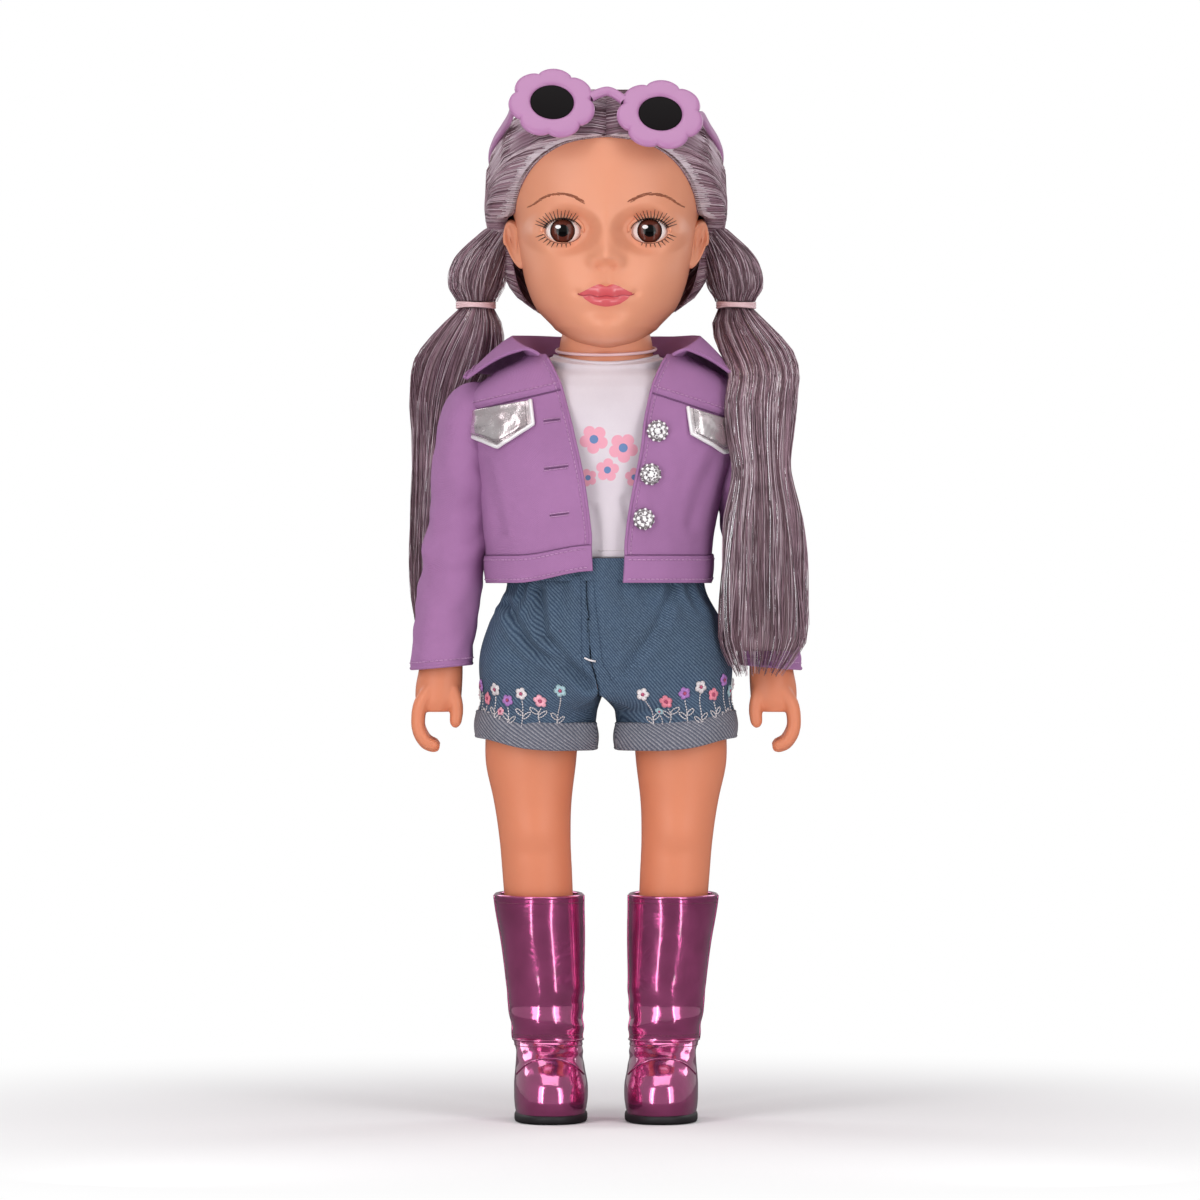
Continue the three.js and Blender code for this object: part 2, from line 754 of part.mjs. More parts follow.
function buildGlasses() {
  const half = FRAME_THICKNESS / 2;
  const flower = prismY(flowerOutline(), -half, half);
  const hole = orient(turned([
    [0, -half - 1], [LENS_DIAMETER / 2 - 1, -half - 1], [LENS_DIAMETER / 2 - 1, -LENS_THICKNESS / 2 - GAP],
    [LENS_DIAMETER / 2, -LENS_THICKNESS / 2 - GAP], [LENS_DIAMETER / 2, half + 1], [0, half + 1],
  ], BAR_POINTS)).rotate([90, 0, 0]);
  const rim = cut(flower, hole.mirror([0, 1, 0]));
  const x = LENS_SPACING / 2;
  const gap = x - FLOWER_RADIUS;
  const bridge = tube(
    [[-gap - 3, 0, 6], [-gap, 0, 8.5], [0, 0, 10.5], [gap, 0, 8.5], [gap + 3, 0, 6]],
    [1.6, 1.5, 1.4, 1.5, 1.6], [0, 1, 0], 6, 1,
  );
  const front = placeGlasses(join(rim.translate([x, 0, 0]), rim.translate([-x, 0, 0]), bridge));
  const lens = orient(turned([
    [0, -LENS_THICKNESS / 2], [LENS_DIAMETER / 2 - GAP, -LENS_THICKNESS / 2],
    [LENS_DIAMETER / 2 - GAP, LENS_THICKNESS / 2], [0, LENS_THICKNESS / 2 + 0.5],
  ], BAR_POINTS)).rotate([90, 0, 0]);
  add('glasses_frame', join(front, temple(1), temple(-1)), 'frame');
  for (const [name, side] of Object.entries(SIDES)) {
    add(`lens_${name}`, placeGlasses(lens.translate([side * x, 0, 0])), 'lens');
  }
}

// A temple runs from the outer petal back over the hair, down behind the ear
function temple(side) {
  const root = placedPoint(side * (LENS_SPACING / 2 + FLOWER_RADIUS - 4), 0, 0);
  const beside = HEAD_HALF_WIDTH + HAIR_SIDE - TEMPLE_RADIUS;
  const points = [
    root.toArray(),
    [side * (beside - 5.2), EAR_Y - 24, HAIRLINE_Z + 10],
    [side * (beside - 0.3), EAR_Y - 9.5, HAIRLINE_Z + 5],
    [side * (beside + 1.4), EAR_Y + 6.5, HAIRLINE_Z],
    [side * (beside + 0.8), EAR_Y + 22.5, HAIRLINE_Z - 8],
  ];
  return tube(points, points.map(() => TEMPLE_RADIUS), [0, 0, 1], 6, 1);
}

// Torso: heights as shares from the crotch to the neck, widths and depths as shares

const TORSO_SHAPE = [
  [0, 0.64, 0.73],
  [0.06, 0.9, 0.9],
  [0.14, 1.01, 0.93],
  [0.28, 0.97, 0.92],
  [0.42, 0.9, 0.95],
  [0.6, 0.94, 0.98],
  [0.77, 0.99, 1],
  [0.87, 1, 0.95],
  [0.94, 0.88, 0.85],
  [0.98, 0.68, 0.78],
  [1, 0.54, 0.74],
];

function torsoSections(by = 0) {
  const sections = TORSO_SHAPE.map(([up, side, depth]) => ({
    z: CROTCH_Z + up * (TORSO_TOP_Z - CROTCH_Z),
    a: side * TORSO_HALF_WIDTH,
    front: depth * TORSO_HALF_DEPTH,
    power: 2.4,
  }));
  return grow(smooth(sections, 1), by);
}

// A round bar along X through the shoulders or the hips
function crossBar(radius, low, high, z, count) {
  return turnedAlongX([[0, low], [radius, low], [radius, high], [0, high]], count, 0, z);
}

function buildTorso() {
  const shell = loft(torsoSections(), TORSO_POINTS);
  const hollow = loft(torsoSections(-TORSO_WALL).slice(1), TORSO_POINTS - 4);
  const stubBore = boreFor(NECK_STUB_RADIUS, NECK_POINTS);
  const neckHole = orient(turned([
    [0, TORSO_TOP_Z - 20], [stubBore, TORSO_TOP_Z - 20], [stubBore, TORSO_TOP_Z + 5], [0, TORSO_TOP_Z + 5],
  ], NECK_POINTS));
  const armHoles = crossBar(boreFor(ARM_STUB_RADIUS, BAR_POINTS), -80, 80, SHOULDER_Z, BAR_POINTS);
  const web = CROTCH_WEB / 2;
  const hips = [1, -1].map((side) => mirrored(
    crossBar(boreFor(HIP_RADIUS, HIP_POINTS), web, 80, HIP_Z, HIP_POINTS), side,
  ));
  const webSolid = loft(torsoSections(-0.5).filter((s) => s.z < HIP_Z + HIP_RADIUS + 8), TORSO_POINTS);
  const webPlate = webSolid.intersect(box([-web, -80, CROTCH_Z - 5], [web, 80, HIP_Z + HIP_RADIUS + 4]));
  const rodReach = 2 * CROTCH_WEB;
  const rod = crossBar(boreFor(HIP_ROD_RADIUS, BAR_POINTS), -rodReach, rodReach, HIP_Z, BAR_POINTS);
  const roofReach = TORSO_HALF_WIDTH + 15;
  const roof = webSolid.intersect(
    crossBar(HIP_RADIUS + TORSO_WALL, -roofReach, roofReach, HIP_Z, HIP_POINTS),
  );
  const whole = join(cut(shell, hollow, neckHole, armHoles), webPlate, roof);
  add('torso_shell', largest(cut(whole, ...hips, rod, thighRoom(1), thighRoom(-1))), 'skin');
  const half = HIP_ROD_LENGTH / 2;
  add('hip_rod', crossBar(HIP_ROD_RADIUS, -half, half, HIP_Z, BAR_POINTS), 'inner');
}

// Room for a thigh that swings forward or a little back, seen from the side as [y, z]
function thighRoom(side) {
  const reach = boreFor(HIP_RADIUS, HIP_POINTS);
  const outline = [
    [-80, HIP_Z + reach - 1], [0, HIP_Z + reach - 1], [0.94 * reach, HIP_Z + 0.34 * reach],
    [80, HIP_Z + 0.34 * reach], [80, CROTCH_Z - 20], [-80, CROTCH_Z - 20],
  ];
  const prism = prismZ(outline.map(([y, z]) => [z, y]), CROTCH_WEB / 2, 90).rotate([0, -90, 0]);
  return side > 0 ? prism.mirror([1, 0, 0]) : prism;
}

// Openings in the clothes for both shoulders
function armholes() {
  return crossBar(boreFor(SHOULDER_RADIUS, BAR_POINTS), -90, 90, SHOULDER_Z, BAR_POINTS);
}

const neckBore = boreFor(NECK_RADIUS, NECK_POINTS);
const teeRim = neckBore + TEE_THICKNESS;

function buildTee() {
  const above = (section) => section.z > TEE_HEM_Z + 6;
  const atHem = sectionAt(torsoSections(), TEE_HEM_Z);
  const body = [atHem, ...torsoSections().filter(above)];
  const outer = grow(body, GAP + TEE_THICKNESS, 0);
  const top = { ...outer.at(-1), z: TEE_NECK_Z, a: teeRim, front: teeRim, back: teeRim, power: 2 };
  outer.at(-1).z += GAP;
  const shirt = loft([...outer, top], TORSO_POINTS);
  const inside = loft(torsoSections(GAP), TORSO_POINTS);
  const neckRoom = orient(turned([
    [0, TORSO_TOP_Z - 8], [neckBore, TORSO_TOP_Z - 8], [neckBore, TEE_NECK_Z + 5], [0, TEE_NECK_Z + 5],
  ], NECK_POINTS));
  add('tee', largest(cut(shirt, inside, neckRoom, armholes())), 'tee');
}

// Jacket: cropped, worn open, with a wide collar

const JACKET_SHAPE = [
  [JACKET_SEAM_Z + GAP, 0.9, 0.95],
  [265, 0.93, 0.975],
  [285, 0.975, 1],
  [300, 1, 0.985],
  [313, 1, 0.9],
  [324, 0.975, 0.79],
  [333, 0.83, 0.715],
  [340, 0.6, 0.66],
];

const jacketOuter = smooth(JACKET_SHAPE.map(([z, side, depth]) => ({
  z, a: side * JACKET_HALF_WIDTH, front: depth * JACKET_HALF_DEPTH, power: 2.5,
})), 1);

// Half width of the open front at each height
const FRONT_OPENING = [[235, 6.5], [285, 10.5], [309, 15], [328, 20], [340, 26], [352, 34]];

function openFront() {
  const right = FRONT_OPENING.map(([z, x]) => [x, z]);
  const left = FRONT_OPENING.map(([z, x]) => [-x, z]).reverse();
  return prismY([...right, ...left], -90, -4);
}

function buildJacket() {
  const outer = loft(jacketOuter, JACKET_POINTS);
  const inner = loft(grow(jacketOuter, -CLOTH, CLOTH * -1).map((s, i) => ({
    ...s, z: i === 0 ? s.z - 2 * CLOTH : s.z,
  })), JACKET_POINTS);
  const jacketNeck = teeRim + 5 * GAP;
  const neckLow = TORSO_TOP_Z - JACKET_NECK_CUT;
  const neckHigh = COLLAR_TOP_Z + JACKET_NECK_CUT;
  const neck = orient(turned([
    [0, neckLow], [jacketNeck, neckLow], [jacketNeck, neckHigh], [0, neckHigh],
  ], NECK_POINTS));
  const holes = armholes();
  add('jacket_body', cut(outer, inner, neck, openFront(), holes), 'jacket');

  const bandSections = [
    { z: JACKET_HEM_Z, a: 0.895 * JACKET_HALF_WIDTH, front: 0.95 * JACKET_HALF_DEPTH, power: 2.5 },
    { z: JACKET_SEAM_Z, a: 0.91 * JACKET_HALF_WIDTH, front: 0.965 * JACKET_HALF_DEPTH, power: 2.5 },
  ];
  const band = cut(
    loft(bandSections, JACKET_POINTS),
    loft(grow(bandSections, -CLOTH - 0.6, 2), JACKET_POINTS),
    openFront(),
  );
  add('jacket_waistband', band, 'jacket');
  buildCollar();
  buildFlaps();
  buildButtons();
}

function buildCollar() {
  const inner = teeRim + 3 * GAP;
  const fall = [
    { z: COLLAR_BOTTOM_Z, a: COLLAR_HALF_WIDTH + 5, front: 40, power: 2.2 },
    { z: COLLAR_BOTTOM_Z + 6, a: COLLAR_HALF_WIDTH - 3, front: 36, power: 2.2 },
    { z: COLLAR_TOP_Z - 3, a: inner + 13, front: inner + 7, power: 2.1 },
    { z: COLLAR_TOP_Z, a: inner + 7, front: inner + 3, power: 2 },
  ];
  const outer = loft(fall, JACKET_POINTS);
  const under = loft(grow(fall, -CLOTH, -CLOTH).map((s, i) => ({
    ...s, z: i === 0 ? s.z - 3 * CLOTH : s.z,
  })), JACKET_POINTS);
  const neck = orient(turned([
    [0, COLLAR_BOTTOM_Z - 5], [inner, COLLAR_BOTTOM_Z - 5], [inner, COLLAR_TOP_Z + 5], [0, COLLAR_TOP_Z + 5],
  ], NECK_POINTS));
  const wedge = prismZ([[0, 6], [-80, -80], [80, -80]], COLLAR_BOTTOM_Z - 10, COLLAR_TOP_Z + 10);
  const sides = [1, -1].map((side) => mirrored(
    box([COLLAR_HALF_WIDTH, -80, COLLAR_BOTTOM_Z - 10], [90, 80, COLLAR_TOP_Z + 10]), side,
  ));
  const jacketRoom = loft(grow(jacketOuter, GAP), JACKET_POINTS);
  const collar = cut(outer, under.subtract(jacketRoom), neck, wedge, ...sides, jacketRoom);
  add('jacket_collar', largest(collar), 'jacket');
}

// Five-sided pocket flaps that lie on the fronts
function buildFlaps() {
  const over = loft(grow(jacketOuter, GAP + FLAP_THICKNESS), JACKET_POINTS);
  const under = loft(grow(jacketOuter, GAP), JACKET_POINTS);
  const layer = cut(over, under);
  const middle = (FLAP_INNER_X + FLAP_OUTER_X) / 2;
  const bottom = FLAP_TOP_Z - FLAP_HEIGHT;
  const outline = [
    [FLAP_INNER_X, FLAP_TOP_Z + 1.5], [FLAP_INNER_X, bottom + 5], [middle - 2, bottom],
    [FLAP_OUTER_X, bottom + 5], [FLAP_OUTER_X, FLAP_TOP_Z - 1],
  ];
  const flap = layer.intersect(prismY(outline, -90, -3));
  for (const [name, side] of Object.entries(SIDES)) add(`pocket_flap_${name}`, mirrored(flap, side), 'foil');
}

// Clusters of cut stones, five round a sixth, lying square on the cloth
function buildButtons() {
  const reach = 0.62 * BUTTON_RADIUS;
  const size = BUTTON_RADIUS - reach;
  const stone = turnedAlongX([[0, 0], [size, 0], [0.6 * size, BUTTON_HEIGHT], [0, BUTTON_HEIGHT]], 6, 0, 0);
  const stones = [stone];
  for (let i = 0; i < 5; i += 1) {
    const angle = (i / 5) * Math.PI * 2;
    stones.push(stone.translate([0, Math.cos(angle) * reach, Math.sin(angle) * reach]));
  }
  const cluster = join(...stones);
  const step = BUTTON_RADIUS;
  BUTTON_PLACES.forEach(([x, z], i) => {
    const slopeX = (frontY(jacketOuter, x + step, z) - frontY(jacketOuter, x - step, z)) / (2 * step);
    const slopeZ = (frontY(jacketOuter, x, z + step) - frontY(jacketOuter, x, z - step)) / (2 * step);
    const normal = new THREE.Vector3(slopeX, -1, slopeZ).normalize();
    const turn = new THREE.Quaternion().setFromUnitVectors(new THREE.Vector3(1, 0, 0), normal);
    const seat = new THREE.Vector3(x, frontY(jacketOuter, x, z), z).addScaledVector(normal, 2 * GAP);
    const place = new THREE.Matrix4().compose(seat, turn, new THREE.Vector3(1, 1, 1));
    add(`jacket_button_${i + 1}`, cluster.transform(place.toArray()), 'gem');
  });
}

// Legs: height, shift forward, half width and half depth as shares of the thigh

const LEG_SHAPE = [
  [8, FOOT_X, FOOT_Y, 0.48, 1.14],
  [15, FOOT_X, FOOT_Y, 0.51, 1.16],
  [23, FOOT_X + 0.3, FOOT_Y + 2, 0.51, 0.98],
  [31, FOOT_X + 0.8, -1.5, 0.5, 0.68],
  [ANKLE_Z, FOOT_X + 1.2, 1.5, 0.5, 0.56],
  [57, 26.8, 2, 0.54, 0.6],
  [76, 28.4, 2, 0.63, 0.69],
  [96, 29.9, 2, 0.69, 0.76],
  [112, 30.9, 0.5, 0.71, 0.77],
  [KNEE_Z, 31.8, -1, 0.725, 0.78],
  [142, 32.8, -0.5, 0.79, 0.84],
  [160, LEG_X, 0, 0.92, 0.95],
  [180, LEG_X - 1, 0, 0.94, 1.03],
  [198, LEG_X - 2.6, 0, 0.88, 1.02],
];

function legSections(steps, by = 0) {
  const sections = LEG_SHAPE.map(([z, x, y, side, depth]) => ({
    z, x, y, a: side * LEG_HALF_WIDTH, front: depth * LEG_HALF_WIDTH, power: 2.1,
  }));
  return grow(smooth(sections, steps), by);
}

const hipInner = CROTCH_WEB / 2 + GAP;
const hipOuter = LEG_X + LEG_HALF_WIDTH - 12;

function legSolid(by = 0) {
  return join(
    loft(legSections(1, by), LIMB_POINTS),
    crossBar(HIP_RADIUS + by, hipInner - by, hipOuter + by, HIP_Z, HIP_POINTS),
  );
}

const SHAFT_SHAPE = [
  [BOOT_SEAM_Z + GAP, 26.1, 1.2, 0.8, 0.92],
  [57, 26.9, 2, 0.87, 0.97],
  [78, 28.3, 2, 0.94, 1.02],
  [BOOT_TOP_Z, 29.9, 2, 1, 1.06],
];

const BOOT_SHAPE = [
  [SOLE_THICKNESS + GAP, FOOT_X, FOOT_Y, 0.94, 0.97],
  [9, FOOT_X, FOOT_Y, 1, 1],
  [16, FOOT_X + 0.1, FOOT_Y + 0.4, 0.99, 0.97],
  [23, FOOT_X + 0.4, FOOT_Y + 2.5, 0.93, 0.86],
  [29, FOOT_X + 0.9, FOOT_Y + 5.7, 0.9, 0.72],
  [BOOT_SEAM_Z, FOOT_X + 1.4, FOOT_Y + 9, 0.93, 0.57],
];

function bootSections() {
  return smooth(BOOT_SHAPE.map(([z, x, y, side, length]) => ({
    z, x, y, a: side * BOOT_HALF_WIDTH, front: length * BOOT_HALF_LENGTH, power: 2.3,
  })), 1);
}

function buildLegs() {
  const rodBore = boreFor(HIP_ROD_RADIUS, BAR_POINTS);
  const leg = cut(legSolid(), crossBar(rodBore, -5, HIP_ROD_LENGTH / 2 + 1, HIP_Z, BAR_POINTS));
  const shaftSections = smooth(SHAFT_SHAPE.map(([z, x, y, side, depth]) => ({
    z, x, y, a: side * BOOT_SHAFT_HALF_WIDTH, front: depth * BOOT_SHAFT_HALF_WIDTH, power: 2.1,
  })), 1);
  const shaft = cut(
    loft(shaftSections, SLEEVE_POINTS),
    loft(grow(shaftSections, -BOOT_WALL, 2), SLEEVE_POINTS),
  );
  const foot = cut(loft(bootSections(), SHORTS_POINTS), loft(legSections(1, 2 * GAP), LIMB_POINTS));
  const base = bootSections()[0];
  const sole = loft([
    { ...base, z: 0, a: base.a - 0.6, front: base.front - 0.6, back: base.front - 0.6 },
    { ...base, z: SOLE_THICKNESS, a: base.a + 0.5, front: base.front + 0.5, back: base.front + 0.5 },
  ], SHORTS_POINTS);
  const cuffSections = [
    { z: CUFF_BOTTOM_Z, x: LEG_X - 2.4, a: CUFF_HALF_WIDTH + 0.5, front: CUFF_HALF_WIDTH + 2.3, power: 2.2 },
    { z: SHORTS_END_Z - GAP, x: LEG_X - 2.4, a: CUFF_HALF_WIDTH - 0.5, front: CUFF_HALF_WIDTH + 1.3, power: 2.2 },
  ];
  const cuff = cut(
    loft(cuffSections, SLEEVE_POINTS),
    loft(grow(cuffSections, -CLOTH - 0.4, 2), SLEEVE_POINTS),
  );
  for (const [name, side] of Object.entries(SIDES)) {
    add(`leg_${name}`, mirrored(leg, side), 'skin');
    add(`shorts_cuff_${name}`, mirrored(cuff, side), 'cuff');
    add(`boot_shaft_${name}`, mirrored(shaft, side), 'boot');
    add(`boot_foot_${name}`, mirrored(foot, side), 'boot');
    add(`boot_sole_${name}`, mirrored(sole, side), 'sole');
  }
}

// Shorts: two halves sewn at the centre seam, and a gathered waistband

const SHORTS_SHAPE = [
  [188, 0.93, 0.97, 2.6],
  [205, 1, 1.02, 2.6],
  [222, 0.95, 1, 2.5],
  [WAIST_BOTTOM_Z - GAP, 0.85, 0.915, 2.4],
];

function buildShorts() {
  const seat = smooth(SHORTS_SHAPE.map(([z, side, depth, power]) => ({
    z, a: side * SHORTS_HALF_WIDTH, front: depth * SHORTS_HALF_DEPTH, power,
  })), 1);
  const legPart = [
    { z: SHORTS_END_Z, x: LEG_X - 2.6, a: CUFF_HALF_WIDTH - 1.2, front: CUFF_HALF_WIDTH + 0.8, power: 2.2 },
    { z: SHORTS_END_Z + 13, x: LEG_X - 5.4, a: CUFF_HALF_WIDTH + 0.6, front: SHORTS_HALF_DEPTH - 2.2, power: 2.3 },
    { z: SHORTS_END_Z + 23, x: LEG_X - 6, a: CUFF_HALF_WIDTH + 0.8, front: SHORTS_HALF_DEPTH - 1, power: 2.4 },
  ];
  const half = box([GAP / 2, -80, 150], [90, 80, 260]);
  const outer = join(loft(seat, SHORTS_POINTS), loft(legPart, SLEEVE_POINTS)).intersect(half);
  const seatRoom = loft(grow(seat, -CLOTH, CLOTH).map((s, i) => ({
    ...s, z: i === 0 ? s.z + CLOTH - GAP : s.z,
  })), SHORTS_POINTS);
  const legRoom = loft(grow(legPart, -CLOTH, 3).map((s, i) => (i < 2 ? s : {
    ...s, a: s.a - 4, front: s.front - 5, back: s.back - 5,
  })), SLEEVE_POINTS);
  const piece = largest(cut(outer, seatRoom.intersect(half), legRoom, legSolid(2 * GAP)));
  for (const [name, sign] of Object.entries(SIDES)) add(`shorts_${name}`, mirrored(piece, sign), 'denim');

  const top = seat.at(-1);
  const waist = [
    { z: WAIST_BOTTOM_Z, a: top.a, front: top.front, power: 2.4 },
    { z: (WAIST_BOTTOM_Z + WAIST_TOP_Z) / 2, a: top.a - 0.8, front: top.front - 0.8, power: 2.4 },
    { z: WAIST_TOP_Z, a: top.a - 0.4, front: top.front - 0.4, power: 2.4 },
  ];
  const torsoRoom = loft(torsoSections(GAP), TORSO_POINTS);
  const gathers = (angle, s) => 1 + (GATHER_DEPTH / s.a) * Math.cos(GATHERS * angle);
  const band = cut(loft(waist, GATHERS * 2, gathers), torsoRoom, loft(grow(waist, -CLOTH - 1, 2), SHORTS_POINTS));
  add('shorts_waistband', band, 'denim');
}

// Arms hang out and a little away from the sides

const ARM_SHAPE = [
  [WRIST_Z - 14, WRIST_X + 1.2, 0.82, 0.86],
  [WRIST_Z - 7, WRIST_X + 0.8, 0.84, 0.86],
  [WRIST_Z, WRIST_X, 0.8, 0.74],
  [WRIST_Z + 10, WRIST_X - 0.6, 0.74, 0.72],
  [235, 72.2, 0.78, 0.82],
  [257, 69.4, 0.8, 0.84],
  [277, 65.9, 0.86, 0.92],
  [297, 62.4, 0.86, 1],
  [SHOULDER_Z, 59.8, 0.86, 0.98],
  [SHOULDER_Z + 8, 58.6, 0.72, 0.8],
  [SHOULDER_Z + 12, 57.6, 0.45, 0.45],
];

function armSections(by = 0) {
  return grow(ARM_SHAPE.map(([z, x, side, depth]) => ({
    z, x, a: side * ARM_HALF_WIDTH, front: depth * ARM_HALF_WIDTH, power: 2.1,
  })), by);
}

const sleeveFace = ARMHOLE_X + GAP;

// All that lies further out than x
function outside(x) {
  return box([x, -60, 100], [140, 60, 400]);
}

function hand() {
  const palmZ = WRIST_Z - 10;
  const knuckleX = WRIST_X + 6.3;
  const parts = [];
  for (let i = 0; i < FINGERS; i += 1) {
    const y = (i - (FINGERS - 1) / 2) * FINGER_PITCH;
    const short = Math.abs(i - 1) * 0.7;
    parts.push(tube([
      [knuckleX, y, palmZ],
      [knuckleX + 4, y, palmZ - 9],
      [knuckleX + 3.6, y, palmZ - 18 + short],
      [knuckleX - 0.6, y, palmZ - 23.6 + short],
      [knuckleX - 4.4, y, palmZ - 23.4 + short],
    ], [FINGER_RADIUS, FINGER_RADIUS, FINGER_RADIUS, 0.9 * FINGER_RADIUS, 0.7 * FINGER_RADIUS], [0, 1, 0], 6, 1));
  }
  parts.push(tube([
    [WRIST_X - 5.5, -6, palmZ + 1],
    [WRIST_X - 7, -6.6, palmZ - 7.5],
    [WRIST_X - 6.6, -6.8, palmZ - 14],
  ], [1.1 * FINGER_RADIUS, 1.05 * FINGER_RADIUS, 0.85 * FINGER_RADIUS], [0, 1, 0], 6, 1));
  return join(...parts);
}

function buildArms() {
  const limbFace = sleeveFace + SLEEVE_WALL + GAP;
  const limb = loft(armSections(), LIMB_POINTS).intersect(outside(limbFace));
  const innerWall = TORSO_HALF_WIDTH - TORSO_WALL;
  const stub = turnedAlongX([
    [0, innerWall - 8], [ARM_FLANGE_RADIUS, innerWall - 8], [ARM_FLANGE_RADIUS, innerWall - 5],
    [ARM_STUB_RADIUS, innerWall - 5], [ARM_STUB_RADIUS, TORSO_HALF_WIDTH + GAP + TEE_THICKNESS],
    [SHOULDER_RADIUS, TORSO_HALF_WIDTH + GAP + TEE_THICKNESS], [SHOULDER_RADIUS, sleeveFace + 3],
    [0, sleeveFace + 3],
  ], BAR_POINTS, 0, SHOULDER_Z);
  const arm = join(limb, stub, hand());

  const sleeveShape = [
    [SLEEVE_END_Z, WRIST_X - 0.5, 0.86, 0.99],
    [225, WRIST_X - 1.6, 0.92, 1],
    [250, 68.2, 0.95, 1.02],
    [276, 64.4, 0.95, 1.06],
    [298, 61, 0.92, 1.08],
    [SHOULDER_Z, 59.5, 0.86, 1.05],
    [SHOULDER_Z + 12, 58.6, 0.7, 0.78],
    [SHOULDER_Z + 18, 58, 0.4, 0.4],
  ].map(([z, x, side, depth]) => ({
    z, x, a: side * SLEEVE_HALF_WIDTH, front: depth * SLEEVE_HALF_WIDTH, power: 2.1,
  }));
  const outer = loft(sleeveShape, SLEEVE_POINTS).intersect(outside(sleeveFace));
  const room = loft(grow(sleeveShape, -SLEEVE_WALL, 0).map((s, i) => ({
    ...s, z: i === 0 ? s.z - 2 : s.z,
  })).filter((s) => s.z < SHOULDER_Z), SLEEVE_POINTS);
  const roomSide = outside(sleeveFace + SLEEVE_WALL);
  const shoulderRoom = crossBar(SHOULDER_RADIUS + GAP, sleeveFace - 2, sleeveFace + 3 + GAP, SHOULDER_Z, BAR_POINTS);
  const armRoom = loft(armSections(GAP), LIMB_POINTS).intersect(roomSide);
  const sleeve = largest(cut(outer, room.intersect(roomSide), armRoom, shoulderRoom));
  for (const [name, side] of Object.entries(SIDES)) {
    add(`arm_${name}`, mirrored(arm, side), 'skin');
    add(`sleeve_${name}`, mirrored(sleeve, side), 'jacket');
  }
}

buildHead();
buildEyes();
buildHair();
buildGlasses();
buildTorso();
buildTee();
buildJacket();
buildShorts();
buildArms();
buildLegs();

export default doll;
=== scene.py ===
import random
from math import acos, copysign, cos, exp, hypot, pi, radians, sin, sqrt

import bmesh
import bpy
from mathutils import Matrix, Vector, noise


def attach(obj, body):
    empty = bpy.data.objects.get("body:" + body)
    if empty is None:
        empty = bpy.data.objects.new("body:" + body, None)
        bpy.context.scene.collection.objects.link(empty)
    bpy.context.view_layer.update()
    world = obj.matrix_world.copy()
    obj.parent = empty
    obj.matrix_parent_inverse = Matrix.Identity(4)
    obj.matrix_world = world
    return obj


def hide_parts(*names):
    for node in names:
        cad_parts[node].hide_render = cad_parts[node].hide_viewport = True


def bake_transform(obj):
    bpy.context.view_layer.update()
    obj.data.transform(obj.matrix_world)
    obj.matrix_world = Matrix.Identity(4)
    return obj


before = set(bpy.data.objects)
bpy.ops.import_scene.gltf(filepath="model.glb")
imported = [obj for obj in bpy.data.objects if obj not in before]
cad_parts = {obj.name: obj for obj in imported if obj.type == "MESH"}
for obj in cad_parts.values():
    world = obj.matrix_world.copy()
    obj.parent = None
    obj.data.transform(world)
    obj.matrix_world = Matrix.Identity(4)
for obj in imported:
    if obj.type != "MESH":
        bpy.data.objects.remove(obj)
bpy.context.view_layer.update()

bl_info = {
    "name": "Vinyl play doll",
    "version": (1, 0, 0),
    "blender": (4, 5, 0),
    "location": "View3D > Sidebar > Doll",
    "description": "Builds the finished look of a dressed vinyl play doll over its fixed frame",
    "category": "Add Mesh",
}

# Lengths in this file are millimetres unless a name says otherwise
MM = 0.001

TURN = 2 * pi

# Heights above the ground
CHIN_Z = 346.4
EYE_Z = 395.2
MOUTH_Z = 366.2
NOSE_Z = 383.2

# Head and eyes
HEAD_HEIGHT = 109
HEAD_HALF_WIDTH = 44.5
FACE_DEPTH = 48.5
SKULL_DEPTH = 52
EYE_X = 19.25
EYE_Y = -29.7
EYE_RADIUS = 10.5
EYE_OPENING = (8.1, 5.3)
IRIS_RADIUS = 5.5
EAR_PLACE = (41.0, -4.0, 391.0)

# Hair
HAIR_MIDDLE = (0.0, 0.0, 414.0)
HAIR_REACH = (54.0, 52.6, 58.2)
HAIR_RISE = 47.0
HAIR_FALL = 72.0
LOCKS = 22
ROOT_HAIRS = 300
BUNCH_X = 58.5
BUNCH_Y = 15.0
ELASTIC_Z = 364.5

# Radius at which the denim's ribs are wound round the body
WRAP_RADIUS = 45

SIDES = (("left", 1), ("right", -1))


# Shapes

def spline(a, b, c, d, t):
    """Smooth value between b and c."""
    square = t * t
    cube = square * t
    return 0.5 * (2 * b + (c - a) * t + (2 * a - 5 * b + 4 * c - d) * square
                  + (3 * b - a - 3 * c + d) * cube)


def between(rows, place):
    """Smoothly mixed row of a table whose first column is the place."""
    last = len(rows) - 1
    place = min(max(place, rows[0][0]), rows[last][0])
    i = 0
    while i < last - 1 and place > rows[i + 1][0]:
        i += 1
    span = rows[i + 1][0] - rows[i][0]
    t = (place - rows[i][0]) / span if span else 0
    around = (rows[max(i - 1, 0)], rows[i], rows[i + 1], rows[min(i + 2, last)])
    return [spline(*(row[k] for row in around), t) for k in range(len(rows[0]))]


def signed_power(value, power):
    return copysign(abs(value) ** power, value)


def hill(dx, width, dz, height):
    return exp(-((dx / width) ** 2) - (dz / height) ** 2)


